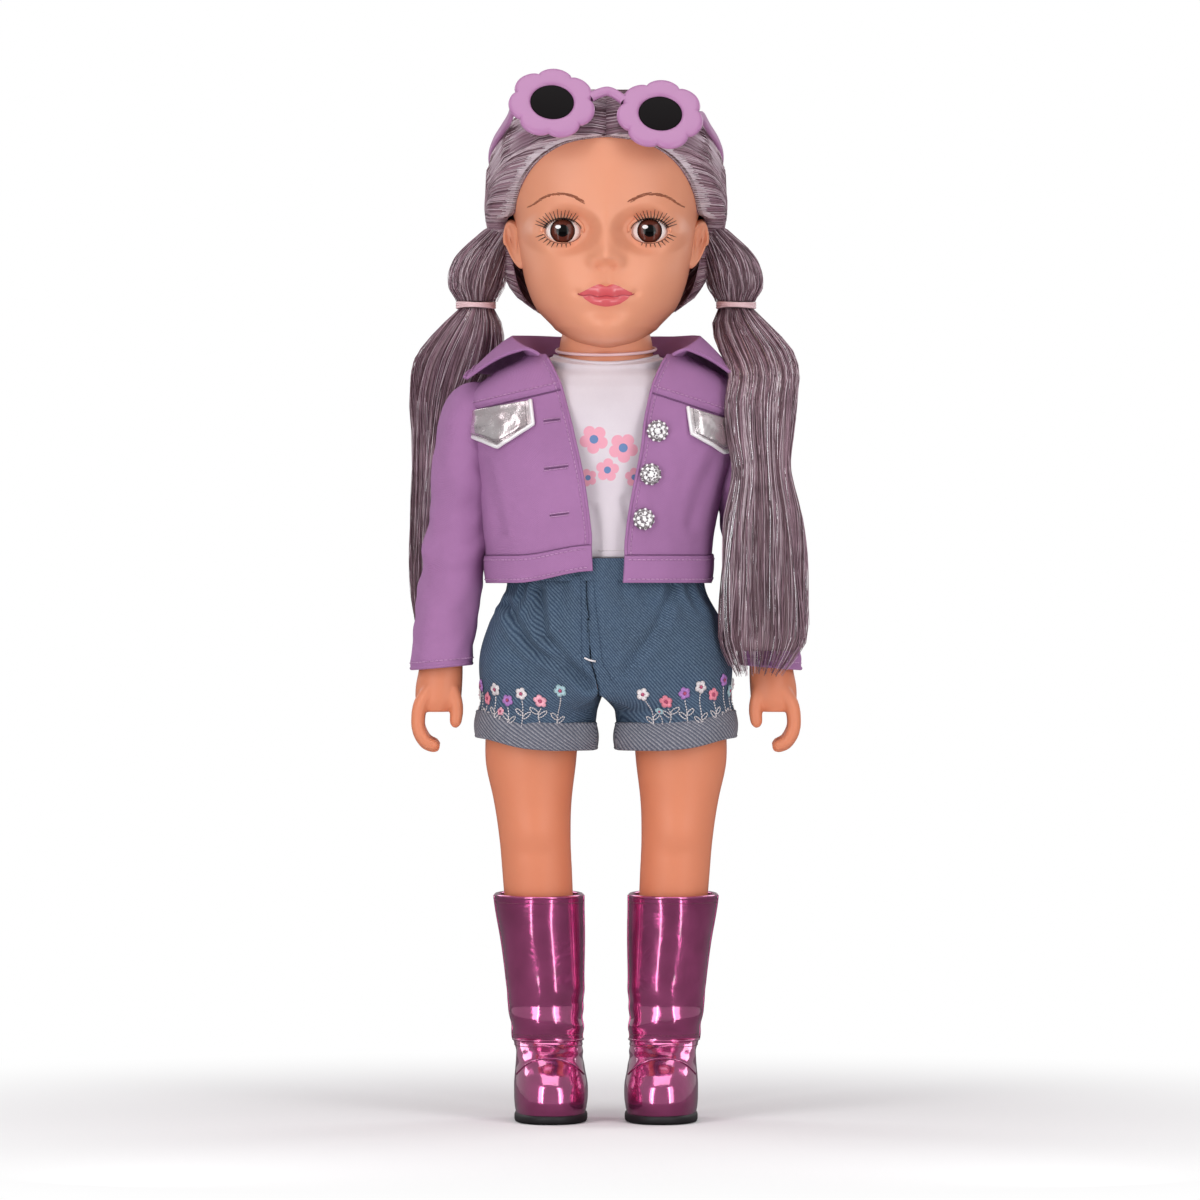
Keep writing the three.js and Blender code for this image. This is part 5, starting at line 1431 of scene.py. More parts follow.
def neckline(angle):
    """Height of the shirt's neck edge, which dips at the front."""
    return TEE_TOP + 0.6 - 3.9 * max(0, -sin(angle)) ** 1.5


def make_tee():
    creases = (((8, 276), (13, 262), (14, 251)), ((-6, 272), (-3, 258), (-5, 251)))

    def drape(x, y, z):
        fold = 1.5 * noise.noise(Vector((x / 17 + 3.1, y / 17, z / 59.5)))
        lift = 1.9 + fold * smooth_step((338 - z) / 40)
        if y < 0:
            for line in creases:
                lift += groove(x, z, line, 0.9, 1.8)
        return lift

    form = Form(TORSO_ROWS, drape)

    def place(u, v):
        angle = u * TURN
        top = neckline(angle)
        z = TEE_BOTTOM + (top - TEE_BOTTOM) * min(v / 0.9, 1)
        point = form.at(angle, z)
        if v > 0.9:
            inward = smooth_step((v - 0.9) / 0.1)
            rim = Vector((cos(angle) * 23.0, sin(angle) * 23.0, top + 0.4 + 1.2 * inward))
            point = point.lerp(rim, inward)
        return point

    tee = sheet_of("tee_cloth", place, 200, 110, True, "tee", "torso")
    run = [form.at(a, TEE_BOTTOM + 3.2, 0.1) for a in turns(180)]
    hem = stitches("tee_hem_stitches", run, 1.7, 1.2, 0.13, "white_thread", "torso")
    ring = [Vector((cos(a) * 23.1, sin(a) * 23.1, neckline(a) + 1.2)) for a in turns(96)]
    rim = tubes("tee_neck_rim", [ring], 0.7, 8, "tee", "torso")
    finish_cloth(tee, 0.9, "tee")
    stands_for("tee")


def hem_rise(x, y, z):
    """The front's corner rises a little towards the opening on one side."""
    if y > 0:
        return 0
    low = smooth_step((275 - z) / 30)
    if x < 0:
        return 5.2 * low * smooth_step((40 + x) / 34)
    return 2.2 * low * smooth_step((x - 44) / 10)


def yoke_height(x):
    """Height of the yoke's lower edge on the front."""
    (ax, az), (bx, bz) = YOKES["left" if x > 0 else "right"]
    return az + (bz - az) * (x - ax) / (bx - ax)


def jacket_drape(x, y, z):
    broad = noise.noise(Vector((x / 24 + 7.3, y / 24, z / 60)))
    fine = noise.noise(Vector((x / 9 + 1.7, y / 9, z / 26)))
    low = smooth_step((320 - z) / 30)
    lift = (1.0 * broad + 0.35 * fine) * (0.3 + 0.7 * low)
    if y < 0:
        lift += 1.1 * smooth_step((z - yoke_height(x)) / 0.7)
    if y < 0 and x > 0:
        lift += groove(x, z, ((50, 297), (43, 283), (38, 266)), 0.9, 2.6)
    if y < 0 and x < 0:
        lift += groove(x, z, ((-54, 292), (-50, 276), (-47, 262)), 0.8, 2.4)
    return lift


JACKET = Form(JACKET_ROWS, jacket_drape)


def jacket_edge(side, z):
    extra = between(OPENING_EXTRA, z)[1] if side > 0 else 0.0
    return side * (between(FRONT_OPENING, z)[1] + extra)


def jacket_point(u, z, lift=0.0):
    """Point of the jacket from one front edge round the back to the other."""
    start = JACKET.angle_for(jacket_edge(-1, z), z)
    end = JACKET.angle_for(jacket_edge(1, z), z) - TURN
    point = JACKET.at(start + (end - start) * u, z, lift)
    point.z += hem_rise(point.x, point.y, z)
    return point


def jacket_front(x, z, lift=0.0):
    point = JACKET.front(x, z, lift)
    point.z += hem_rise(point.x, point.y, z)
    return point


def even_ends(u):
    """Places gather near both front edges."""
    return 0.5 - 0.5 * cos(pi * u) * (1 - 0.25 * sin(pi * u) ** 2)


def make_jacket_body():
    def body(u, v):
        z = BAND_TOP - 1.0 + (JACKET_TOP - BAND_TOP + 1.0) * v
        return jacket_point(even_ends(u), z)

    def band(u, v):
        z = JACKET_BOTTOM + (BAND_TOP - JACKET_BOTTOM) * v
        puff = 0.9 + 0.5 * sin(pi * v)
        return jacket_point(even_ends(u), z, puff)

    for name, side in (("right", -1), ("left", 1)):
        run = [jacket_front(jacket_edge(side, z) + side * 2.6, z, 0.12)
               for z in [JACKET_BOTTOM + 1.5 + k for k in range(98)]]
        top_stitches(f"front_stitches_{name}", run)
        edge = [jacket_front(jacket_edge(side, z) + side * 0.4, z, -0.1)
                for z in [JACKET_BOTTOM + k for k in range(101)]]
        tubes(f"front_edge_{name}", [edge], 0.75, 8, "jacket", "torso")
        a, b = YOKES[name]
        yoke = [jacket_front(a[0] + (b[0] - a[0]) * t, a[1] + (b[1] - a[1]) * t - 0.9, 0.05)
                for t in shares(40)]
        tubes(f"yoke_seam_{name}", [yoke], 0.42, 6, "jacket_seam", "torso")
        row = [jacket_front(p.x, yoke_height(p.x) + 2.6, 0.25) for p in yoke]
        top_stitches(f"yoke_stitches_{name}", row)
    for number, (x, z, long) in enumerate(BUTTONHOLES, 1):
        def along(count, rise, lift):
            return [jacket_front(x - long / 2 + long * t, z + rise + long * 0.12 * (t - 0.5), lift)
                    for t in shares(count)]

        for place, rise in (("low", -0.75), ("high", 0.75)):
            stitches(f"buttonhole_{number}_{place}", along(30, rise, 0.15), 0.62, 0.8, 0.28,
                                 "jacket_thread", "torso")
        tubes(f"buttonhole_{number}_slit", [along(12, 0, 0.0)], 0.3, 6, "jacket_seam", "torso")
    cloth_piece = sheet_of("jacket_cloth", body, 260, 100, False, "jacket", "torso")
    finish_cloth(cloth_piece, mm("jacket_cloth"), "jacket")
    stands_for("jacket_body")

    for name, z, lift in (("low", JACKET_BOTTOM + 1.6, 1.25), ("high", BAND_TOP - 1.8, 1.2)):
        run = [jacket_point(0.004 + 0.992 * k / 260, z, lift) for k in range(261)]
        top_stitches(f"waist_stitches_{name}", run)
    seam = [jacket_point(u, BAND_TOP + 0.2, 0.35) for u in shares(260)]
    tubes("waist_seam", [seam], 0.36, 6, "jacket_seam", "torso")
    strip = sheet_of("waistband_cloth", band, 260, 16, False, "jacket", "torso")
    finish_cloth(strip, 1.7, "waistband")
    stands_for("jacket_waistband")


# Places along the collar, from the front on one side round the neck to the front on the other
COLLAR_FOLD = [(-1.0, -36.0, -22.5, 344.2), (-0.8, -41.5, -10, 349.2), (-0.55, -40.0, 8, 350.8),
               (-0.3, -26, 25, 351), (0, 0, 31.5, 351), (0.3, 26, 25, 351), (0.55, 40.0, 8, 350.8),
               (0.8, 41.5, -10, 349.2), (1.0, 36.0, -22.5, 344.2)]
COLLAR_EDGE = [(-1.0, -63.0, -14.0, 331.2), (-0.8, -60.0, 2, 334.5), (-0.55, -50.0, 20, 334),
               (-0.3, -29, 36.5, 331), (0, 0, 40.5, 329.5), (0.3, 29, 36.5, 331), (0.55, 50.0, 20, 330.5),
               (0.8, 61.0, 2, 329.5), (1.0, 64.0, -17.0, 327.0)]
COLLAR_FOOT = [(-1.0, -29.0, -23, 341.5), (-0.8, -33.5, -10, 341.5), (-0.55, -32.0, 8, 341.5),
               (-0.3, -22, 21, 341.5), (0, 0, 26.5, 341.5), (0.3, 22, 21, 341.5), (0.55, 32.0, 8, 341.5),
               (0.8, 33.5, -10, 341.5), (1.0, 29.0, -23, 341.5)]


def collar_point(u, v, lift=0.0):
    """Collar from its foot (v 0) over the fold (v 0.35) to its outer edge (v 1)."""
    along = 2 * u - 1
    foot = Vector(between(COLLAR_FOOT, along)[1:])
    fold = Vector(between(COLLAR_FOLD, along)[1:])
    edge = Vector(between(COLLAR_EDGE, along)[1:])
    if v < 0.35:
        t = v / 0.35
        point = foot.lerp(fold, t)
        point.z += 0.6 * sin(pi * t)
    else:
        t = (v - 0.35) / 0.65
        point = fold.lerp(edge, t)
        point.z += 2.4 * sin(pi * t) * (1 - 0.4 * t) + lift
    point.z += 0.5 * noise.noise(Vector((u * 9, v * 2, 5.0)))
    return point


def make_collar():
    collar = sheet_of("collar_cloth", collar_point, 150, 40, False, "jacket", "torso")
    run = [collar_point(0.985 * k / 200 + 0.0075, 0.93, 0.55) for k in range(201)]
    edge = [collar_point(u, 1.0, 0.1) for u in shares(200)]
    sewn = [top_stitches("collar_stitches", run),
            tubes("collar_edge", [edge], 0.85, 8, "jacket", "torso")]
    finish_cloth(collar, mm("jacket_cloth"), "collar")
    stands_for("jacket_collar")


def make_flaps():
    """Silver pocket flaps hang from the yoke seam, with a bound edge and an inner row of stitches."""
    for name, side in SIDES:
        inner_top, outer_top, outer_low, apex, inner_low = FLAPS[name]

        def bottom(x):
            run = sorted([inner_low, apex, outer_low])
            for (ax, az), (bx, bz) in zip(run, run[1:]):
                if ax <= x <= bx:
                    return az + (bz - az) * (x - ax) / (bx - ax)
            return run[0][1] if x < run[0][0] else run[-1][1]

        def place(u, v, lift=0.0):
            top_x = inner_top[0] + (outer_top[0] - inner_top[0]) * u
            low_x = inner_low[0] + (outer_low[0] - inner_low[0]) * u
            top_z = inner_top[1] + (outer_top[1] - inner_top[1]) * u
            x = top_x + (low_x - top_x) * v
            z = top_z + (bottom(low_x) - top_z) * v
            rise = min(u, 1 - u, 1 - v) * 5
            puff = 1.3 * smooth_step(rise) + 1.0 + 0.7 * v
            puff += 0.35 * noise.noise(Vector((x / 4, z / 4, side * 3.0)))
            return jacket_front(x, z, puff + lift)

        flap = sheet_of(f"flap_{name}", place, 44, 34, False, "flap", "torso")
        outline = [place(0, t) for t in shares(20)]
        outline += [place(t, 1) for t in shares(30)[1:]]
        outline += [place(1, 1 - t) for t in shares(20)[1:]]
        # The bound edge takes the near-white binding tone, a painted highlight
        bound = tubes(f"flap_binding_{name}", [outline], 0.9, 8, "binding_highlight", "torso")
        inner = [place(0.08, t * 0.88, 0.1) for t in shares(20)]
        inner += [place(0.08 + 0.84 * t, 0.88, 0.1) for t in shares(30)[1:]]
        inner += [place(0.92, 0.88 * (1 - t), 0.1) for t in shares(20)[1:]]
        row = stitches(f"flap_stitches_{name}", inner, 1.25, 0.95, 0.17, "grey_metal_and_facet_reflection", "torso")
        thicken(flap, 1.2)
        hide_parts(f"pocket_flap_{name}")


def make_buttons():
    """Each button is a cluster of cut stones in small cups."""
    for number, (x, z) in enumerate(BUTTONS, 1):
        rng = random.Random(49 + number)
        middle = jacket_front(x, z, 1.2)
        outward = (jacket_front(x, z, 3.0) - middle).normalized()
        across = outward.cross(Vector((0, 0, 1))).normalized()
        up = across.cross(outward)
        stones = [(0, 0, 1.55)]
        for count, first, out, radius in ((8, 0.2, 2.75, 1.15), (11, 0, 4.25, 0.72)):
            stones += [(out * cos(a + first), out * sin(a + first), radius) for a in turns(count)[:-1]]
        points, faces = [], []
        for sx, sz, radius in stones:
            turn = rng.uniform(0, 1)
            centre = middle + across * sx + up * sz
            start = len(points)
            for ring_radius, height in ((1.0, 0.0), (1.0, 0.25), (0.55, 0.8)):
                for k in range(8):
                    angle = (k + turn) / 8 * TURN
                    out = (across * cos(angle) + up * sin(angle)) * radius * ring_radius
                    points.append(centre + out + outward * (height * radius + 0.3))
            faces += grid_faces(8, 3, True, start)
            faces.append(tuple(range(start + 16, start + 24)))
            faces.append(tuple(reversed(range(start, start + 8))))
        cluster = make_object(f"button_stones_{number}", points, faces, "gem", "torso", smooth=False)
        cluster.data.materials.append(FINISHES["grey_metal_and_facet_reflection"])
        # About a quarter of the facets take the dark grey tone at random: painted reflections that make the
        # sparkle
        for polygon in cluster.data.polygons:
            polygon.material_index = 1 if rng.random() < 0.24 else 0
        stands_for(f"jacket_button_{number}")
        cup = [middle + (across * cos(a) + up * sin(a)) * mm("button") * 0.72 - outward * 0.2
               for a in turns(24)]
        ring = tubes(f"button_cup_{number}", [cup], 1.25, 8, "grey_metal_and_facet_reflection", "torso")


SLEEVE_RINGS = [
    (0.0, 52.0, 312.5, 92, 16.4, 15.6), (0.07, 57.0, 312.0, 82, 17.6, 15.9),
    (0.13, 60.0, 309.0, 62, 18.2, 16.2),
    (0.19, 61.6, 303.5, 38, 16.4, 16.4), (0.25, 62.4, 296.5, 17, 14.8, 16.4),
    (0.4, 64.0, 276.0, 2, 14.6, 16.2),
    (0.6, 67.8, 250.0, -8, 14.6, 15.8), (0.8, 71.4, 225.0, -7, 14.3, 15.6),
    (1.0, 73.6, 202.6, -5, 14.0, 15.4),
]


def sleeve_point(side, u, v, lift=0.0):
    """Sleeve from inside the armhole (v 0) to its hem (v 1). u 0 is the outer side."""
    _, x, z, tilt, wide, deep = between(SLEEVE_RINGS, v)
    tilt = radians(tilt)
    angle = u * TURN
    across = Vector((cos(tilt), 0, sin(tilt)))
    out = across * cos(angle) * wide + Vector((0, sin(angle) * deep, 0))
    normal = (across * cos(angle) / wide + Vector((0, sin(angle) / deep, 0))).normalized()
    inner = 0.5 - 0.5 * cos(angle)
    folds = 1.5 * noise.noise(Vector((cos(angle) * 1.2 + side * 4, sin(angle) * 1.2, v * 7.5)))
    folds += 0.7 * noise.noise(Vector((cos(angle) * 1.9, sin(angle) * 1.9 + side * 3, v * 17)))
    folds += 0.9 * inner * sin(v * 46 + sin(angle) * 2.2) * exp(-((v - 0.33) / 0.13) ** 2)
    folds += 0.7 * sin(v * 40 + sin(angle) * 3 + side) * exp(-((v - 0.56) / 0.1) ** 2)
    folds = max(folds, -0.9) * smooth_step(v / 0.12) * smooth_step((1 - v) / 0.06)
    return mirrored(Vector((x, 0, z)) + out + normal * (folds + lift), side)


def make_sleeves():
    for name, side in SIDES:
        body = f"arm_{name}"
        sleeve = sheet_of(f"sleeve_cloth_{name}", lambda u, v: sleeve_point(side, u, v), 90, 150, True,
                          "jacket", body)
        row = top_stitches(f"sleeve_stitches_{name}", [sleeve_point(side, u, 0.966, 0.1) for u in shares(90)],
                           body)
        rim = [sleeve_point(side, u, 1.0, -0.5) for u in shares(90)]
        hem = tubes(f"sleeve_hem_{name}", [rim], 0.85, 8, "jacket", body)
        finish_cloth(sleeve, 1.3, "sleeve")
        stands_for(f"sleeve_{name}")


# Shorts

SEAT_ROWS = full_rows([
    (170.0, 0, 0, 53.0, 34.5, 2.6), (188.0, 0, 0, 55.5, 35.0, 2.6), (205.0, 0, 0, 56.6, 36.7, 2.6),
    (222.0, -1.0, 0, 52.8, 36.0, 2.5), (236.0, -2.6, 0, 47.2, 33.6, 2.4), (250.6, -2.8, 0, 46.0, 32.8, 2.4),
])
LEG_OPENING_ROWS = full_rows([
    (172.0, 31.2, 0, 26.3, 28.2, 2.2), (180.0, 30.6, 0, 26.4, 30.0, 2.2), (190.0, 29.6, 0, 26.8, 33.6, 2.3),
    (202.0, 28.6, 0, 27.4, 35.6, 2.4),
])
SEAT = Form(SEAT_ROWS)
LEG_OPENING = Form(LEG_OPENING_ROWS)
SHORTS_BOTTOM, SHORTS_HEIGHT = 174.0, 68.8
CENTRE_SEAM = [(192, -3.6), (205, -6.8), (250, -9.0)]
CROTCH_FOLDS = (
    ((-43.4, 229.5), (-38, 217), (-31.8, 210), (-16.7, 201), (-8, 193.3)),
    ((-30, 236), (-27.6, 216), (-15, 202.8), (-7, 196)),
)
OUTER_SHARE = 0.72
CROTCH_Z = 189.5


def seam_x(z):
    return between(CENTRE_SEAM, z)[1]


def gathers(angle, x, y, z):
    high = smooth_step((z - 214) / 30)
    wave = sin(angle * 23 + 2.5 * noise.noise(Vector((x / 12, y / 12, z / 30))))
    return 1.5 * high * wave * (0.7 + 0.5 * noise.noise(Vector((x / 15 + 4, y / 15, 0.5))))


def seat_fold(side, angle, point):
    x, y, z = point
    lift = gathers(angle, x, y, z)
    lift += 0.9 * noise.noise(Vector((x / 20 + 2.2, y / 20, z / 26)))
    if y < 0:
        for line in CROTCH_FOLDS:
            lift += groove(x, z, line, 2.3 if side < 0 else 0, 2.0)
        lift += groove(x, z, ((30, 238), (23, 220), (9, 201)), 1.5 if side > 0 else 0, 2.2)
        lift -= 0.8 * exp(-((x - seam_x(z)) / 0.8) ** 2) * smooth_step((z - 193) / 6)
    return lift


def shorts_point(side, s, z, lift=0.0):
    """Ring of one half: s runs from the front seam round the outer side to the back seam, then inside."""
    share = smooth_step((z - 182) / 9)
    front = SEAT.angle_for(seam_x(z) * side, z)
    if s <= OUTER_SHARE:
        t = s / OUTER_SHARE
        seat_angle = front + (pi / 2 - front) * t
        seat = SEAT.at(seat_angle, z)
        leg_angle = radians(-128 + 256 * t)
    else:
        t = (s - OUTER_SHARE) / (1 - OUTER_SHARE)
        back_point, front_point = SEAT.at(pi / 2, z), SEAT.at(front, z)
        seat = back_point.lerp(front_point, t)
        seat.x = front_point.x * smooth_step(t) + 0.35
        seat_angle = 0
        leg_angle = radians(128 + 104 * t)
    leg = LEG_OPENING.at(leg_angle, z)
    point = leg.lerp(seat, share)
    point.x *= side
    if s <= OUTER_SHARE:
        rise = seat_fold(side, seat_angle, point) + lift
    else:
        rise = lift * (1 - share)
    outward = Vector((cos(leg_angle) * side, sin(leg_angle), 0))
    if s <= OUTER_SHARE:
        body_out = Vector((point.x / 56 ** 2, point.y / 36 ** 2, 0)).normalized()
        outward = outward.lerp(body_out, share).normalized()
    return point + outward * rise


# Place round the leg, height, radius and thread of each flower
FLOWER_SPOTS = [
    (0.052, 190.2, 2.9, "white"), (0.094, 186.9, 3.0, "pink"), (0.136, 190.6, 2.9, "lilac"),
    (0.178, 193.4, 3.0, "white"), (0.220, 190.0, 3.0, "pink"), (0.262, 196.4, 2.9, "lilac"),
    (0.302, 191.6, 2.9, "blue"), (0.342, 194.4, 2.9, "white"), (0.072, 182.8, 1.9, "blue"),
    (0.382, 189.0, 2.9, "rose"), (0.424, 192.8, 2.9, "lilac"), (0.466, 188.6, 2.9, "white"),
    (0.508, 192.2, 2.9, "pink"), (0.55, 188.8, 2.9, "blue"), (0.592, 192.4, 2.9, "white"),
]
OTHER_SPOTS = [
    (0.056, 191.8, 2.9, "blue"), (0.1, 187.2, 3.0, "rose"), (0.142, 190.4, 2.9, "white"),
    (0.184, 187.4, 2.9, "lilac"), (0.226, 192.2, 3.0, "white"), (0.268, 188.2, 3.0, "pink"),
    (0.308, 194.0, 2.9, "lilac"), (0.35, 189.6, 2.9, "white"), (0.206, 182.6, 1.9, "rose"),
    (0.392, 193.0, 2.9, "pink"), (0.434, 188.8, 2.9, "blue"), (0.476, 192.6, 2.9, "white"),
    (0.518, 188.6, 2.9, "lilac"), (0.56, 192.4, 2.9, "rose"), (0.6, 188.8, 2.9, "white"),
]


def make_embroidery(name, side, spots):
    """Raised thread flowers in a row above the cuff, on dotted stems with looped leaves."""
    petals = {key: [] for key in THREADS}
    hearts, dots = [], []
    for number, (s, z, radius, colour) in enumerate(spots):
        middle = shorts_point(side, s, z, 0.25)
        along = (shorts_point(side, s + 0.01, z, 0.25) - middle).normalized()
        up = (shorts_point(side, s, z + 1, 0.25) - middle).normalized()
        outward = along.cross(up)
        if outward.dot(Vector((middle.x - side * 29, middle.y, 0))) < 0:
            outward.negate()

        def spot(angle, reach, rise):
            return middle + along * (cos(angle) * reach) + up * (sin(angle) * reach) + outward * rise

        for angle in turns(50 if radius > 2 else 28)[:-1]:
            reach = radius * (0.66 + 0.34 * abs(cos(5 * (angle + number * 0.9) / 2)) ** 0.7)
            petals[f"{colour}_thread"].append([
                spot(angle, radius * 0.22, 0.15), spot(angle, reach * 0.62, 0.62), spot(angle, reach, 0.05)])
        for k in range(6):
            angle = k / 6 * pi
            hearts.append([spot(angle, radius * 0.24, 0.5), spot(angle, 0, 0.85),
                           spot(angle + pi, radius * 0.24, 0.5)])
        foot = 176.5 + 1.2 * sin(number * 2.1)
        bend = 0.005 * sin(number * 1.7)
        high = z - radius
        stem = [shorts_point(side, s + bend * sin(t * pi), high - (high - foot) * t, 0.3) for t in shares(12)]
        dots.append(("stem", stem))
        if radius > 2:
            for way in (-1, 1):
                height = foot + 2.0 + 1.5 * (number % 3) + way * 0.8
                dots.append(("leaf", [
                    shorts_point(side, s + bend + way * 0.0095 * (1 - cos(a)),
                                 height + sin(a) + 1.1 * (1 - cos(a)), 0.3) for a in turns(16)]))
    made = []
    for colour, paths in petals.items():
        if paths:
            made.append(tubes(f"petals_{name}_{colour}", paths, 0.19, 4, colour, None, taper=0.9))
    made.append(tubes(f"flower_hearts_{name}", hearts, 0.22, 4, "heart_thread", None))
    sewn = [stitches(f"{kind}_{name}", run, 1.25 if kind == "stem" else 1.05, 0.8, 0.25, "white_thread", None)
            for kind, run in dots]
    made.append(joined(f"stems_{name}", sewn, "white_thread"))
    return made


def joined(name, pieces, finish):
    """Many small pieces of one finish as one mesh."""
    points, faces = [], []
    for piece in pieces:
        start = len(points)
        points += [vertex.co / MM for vertex in piece.data.vertices]
        faces += [tuple(index + start for index in polygon.vertices) for polygon in piece.data.polygons]
    for piece in pieces:
        bpy.data.objects.remove(piece)
    return make_object(name, points, faces, finish, None)


def bend_at_hip(made, name):
    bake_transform(made)


def open_above_crotch(half, across):
    """Takes out the wall between the halves above the crotch seam, where shorts have none."""
    shape = bmesh.new()
    shape.from_mesh(half.data)
    shape.verts.ensure_lookup_table()
    wall = {v.index for v in shape.verts
            if v.index % across / across > OUTER_SHARE and v.co.z > CROTCH_Z * MM}
    inner = [f for f in shape.faces if all(v.index in wall for v in f.verts)]
    bmesh.ops.delete(shape, geom=inner, context="FACES")
    shape.to_mesh(half.data)
    shape.free()


def make_shorts():
    for name, side in SIDES:
        def place(u, v):
            return shorts_point(side, u, SHORTS_BOTTOM + SHORTS_HEIGHT * v)

        half = sheet_of(f"shorts_cloth_{name}", place, 300, 110, True, "denim", None)
        open_above_crotch(half, 300)
        pieces = make_embroidery(name, side, FLOWER_SPOTS if side > 0 else OTHER_SPOTS)
        run = [shorts_point(side, 0.012, z, 0.15) for z in [196 + k * 0.5 for k in range(92)]]
        pieces.append(stitches(f"fly_stitches_{name}", run, 1.5, 1.0, 0.15, "denim_thread", None))
        finish_cloth(half, mm("denim_cloth"), "shorts_half")
        for piece in [half] + pieces:
            bend_at_hip(piece, name)
        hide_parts(f"shorts_{name}")

    run = [SEAT.front(x, z, 0.9) for x, z in ((-9.6, 206.4), (-7.4, 205.4), (-4.6, 204.8))]
    knot = tubes("bartack", [run], 0.42, 6, "white_thread", "torso")

    def band(u, v):
        angle = u * TURN
        z = 240.4 + 10.2 * v
        wave = sin(angle * 23 + 0.9) * 0.9
        return SEAT.at(angle, z, 0.5 + wave + 0.4 * sin(pi * v))

    waist = sheet_of("shorts_waist_cloth", band, 360, 16, True, "denim", "torso")
    finish_cloth(waist, mm("denim_cloth"), "shorts_waist")
    stands_for("shorts_waistband")


CUFF_ROWS = full_rows([
    (160.0, 31.2, 0, 27.6, 29.6, 2.2), (167.0, 31.2, 0, 27.4, 29.4, 2.2), (179.0, 31.2, 0, 26.9, 29.2, 2.2),
    (186.0, 31.2, 0, 26.7, 29.0, 2.2),
])
CUFF = Form(CUFF_ROWS)
CUFF_LOW, CUFF_HIGH = 166.0, 176.6


def cuff_point(side, u, v, lift=0.0):
    angle = u * TURN
    z = CUFF_LOW + (CUFF_HIGH - CUFF_LOW) * v
    outer = smooth_step((cos(angle) + 0.35) / 1.35)
    flare = exp(-((angle - radians(214)) / 0.32) ** 2)
    puff = 0.7 * sin(pi * v) + 0.5 * noise.noise(Vector((cos(angle) * 3, sin(angle) * 3, side)))
    point = CUFF.at(angle, z, puff + lift + 2.8 * flare * (0.4 + 0.6 * v))
    point.z += 5.4 * outer - 0.8 * sin(pi * outer)
    return mirrored(point, side)


def make_cuffs():
    for name, side in SIDES:
        cuff = sheet_of(f"cuff_cloth_{name}", lambda u, v: cuff_point(side, u, v), 150, 18, True,
                        "denim_back", f"leg_{name}")
        for place, v in (("low", 0.0), ("high", 1.0)):
            run = [cuff_point(side, u, v, -0.8) for u in shares(150)]
            tubes(f"cuff_{place}_{name}", [run], 1.0, 8, "denim_back", f"leg_{name}")
        finish_cloth(cuff, 1.7, "cuff")
        stands_for(f"shorts_cuff_{name}")


# Limbs

ARM_ROWS = full_rows([
    (z, x, 0, 12.4 * wide, 12.4 * deep, 2.1)
    for z, x, wide, deep in (
        (182, 76.2, 0.55, 0.7), (186, 75.2, 0.8, 0.84), (193, 74.8, 0.84, 0.86), (200, 74.0, 0.8, 0.76),
        (210, 73.2, 0.74, 0.72), (235, 70.6, 0.76, 0.8), (257, 68.0, 0.76, 0.8), (277, 66.0, 0.78, 0.86),
        (297, 64.0, 0.8, 0.9), (312, 62.6, 0.8, 0.86), (320, 62.0, 0.66, 0.7), (324, 61.6, 0.4, 0.4),
    )
])
ARM = Form(ARM_ROWS)
LEG_ROWS = full_rows([
    (z, x, y, 22 * wide, 22 * deep, 2.1)
    for z, x, y, wide, deep in (
        (57, 26.8, 2, 0.54, 0.6), (76, 28.4, 2, 0.63, 0.69), (96, 29.9, 2, 0.69, 0.76),
        (112, 30.9, 0.5, 0.71, 0.77), (126, 31.8, -1, 0.725, 0.78), (142, 32.8, -0.5, 0.79, 0.84),
        (160, 33.6, 0, 0.92, 0.95), (180, 32.6, 0, 0.94, 1.03), (198, 31, 0, 0.9, 1.0),
        (212, 30, 0, 0.8, 0.92),
        (223, 28.5, 0, 0.55, 0.62), (228, 27, 0, 0.2, 0.25),
    )
])


def knee(x, y, z):
    if y > 0:
        return -0.5 * exp(-((z - 126) / 7) ** 2)
    return (0.9 * exp(-((z - 129) / 6) ** 2 - ((abs(x) - 31.6) / 8) ** 2)
            - 0.5 * exp(-((z - 119) / 4) ** 2 - ((abs(x) - 31.6) / 9) ** 2))


LEG = Form(LEG_ROWS, knee)


def finger(path, radii):
    """Points and faces of a closed round finger, with a radius for each knuckle."""
    run = curve_through(path, 5)
    sizes = []
    for i in range(len(run)):
        place = i / (len(run) - 1) * (len(radii) - 1)
        low = min(int(place), len(radii) - 2)
        sizes.append(radii[low] + (radii[low + 1] - radii[low]) * (place - low))
    tip = (run[-1] - run[-2]).normalized()
    last = sizes[-1]
    for share in (0.35, 0.62, 0.8, 0.92):
        run.append(run[-1] + tip * last * 0.24)
        sizes.append(last * sqrt(1 - share * share))
    points = [point for i, size in enumerate(sizes) for point in ring_round(run, i, size, 16)]
    return points, closed_tube(16, len(run))


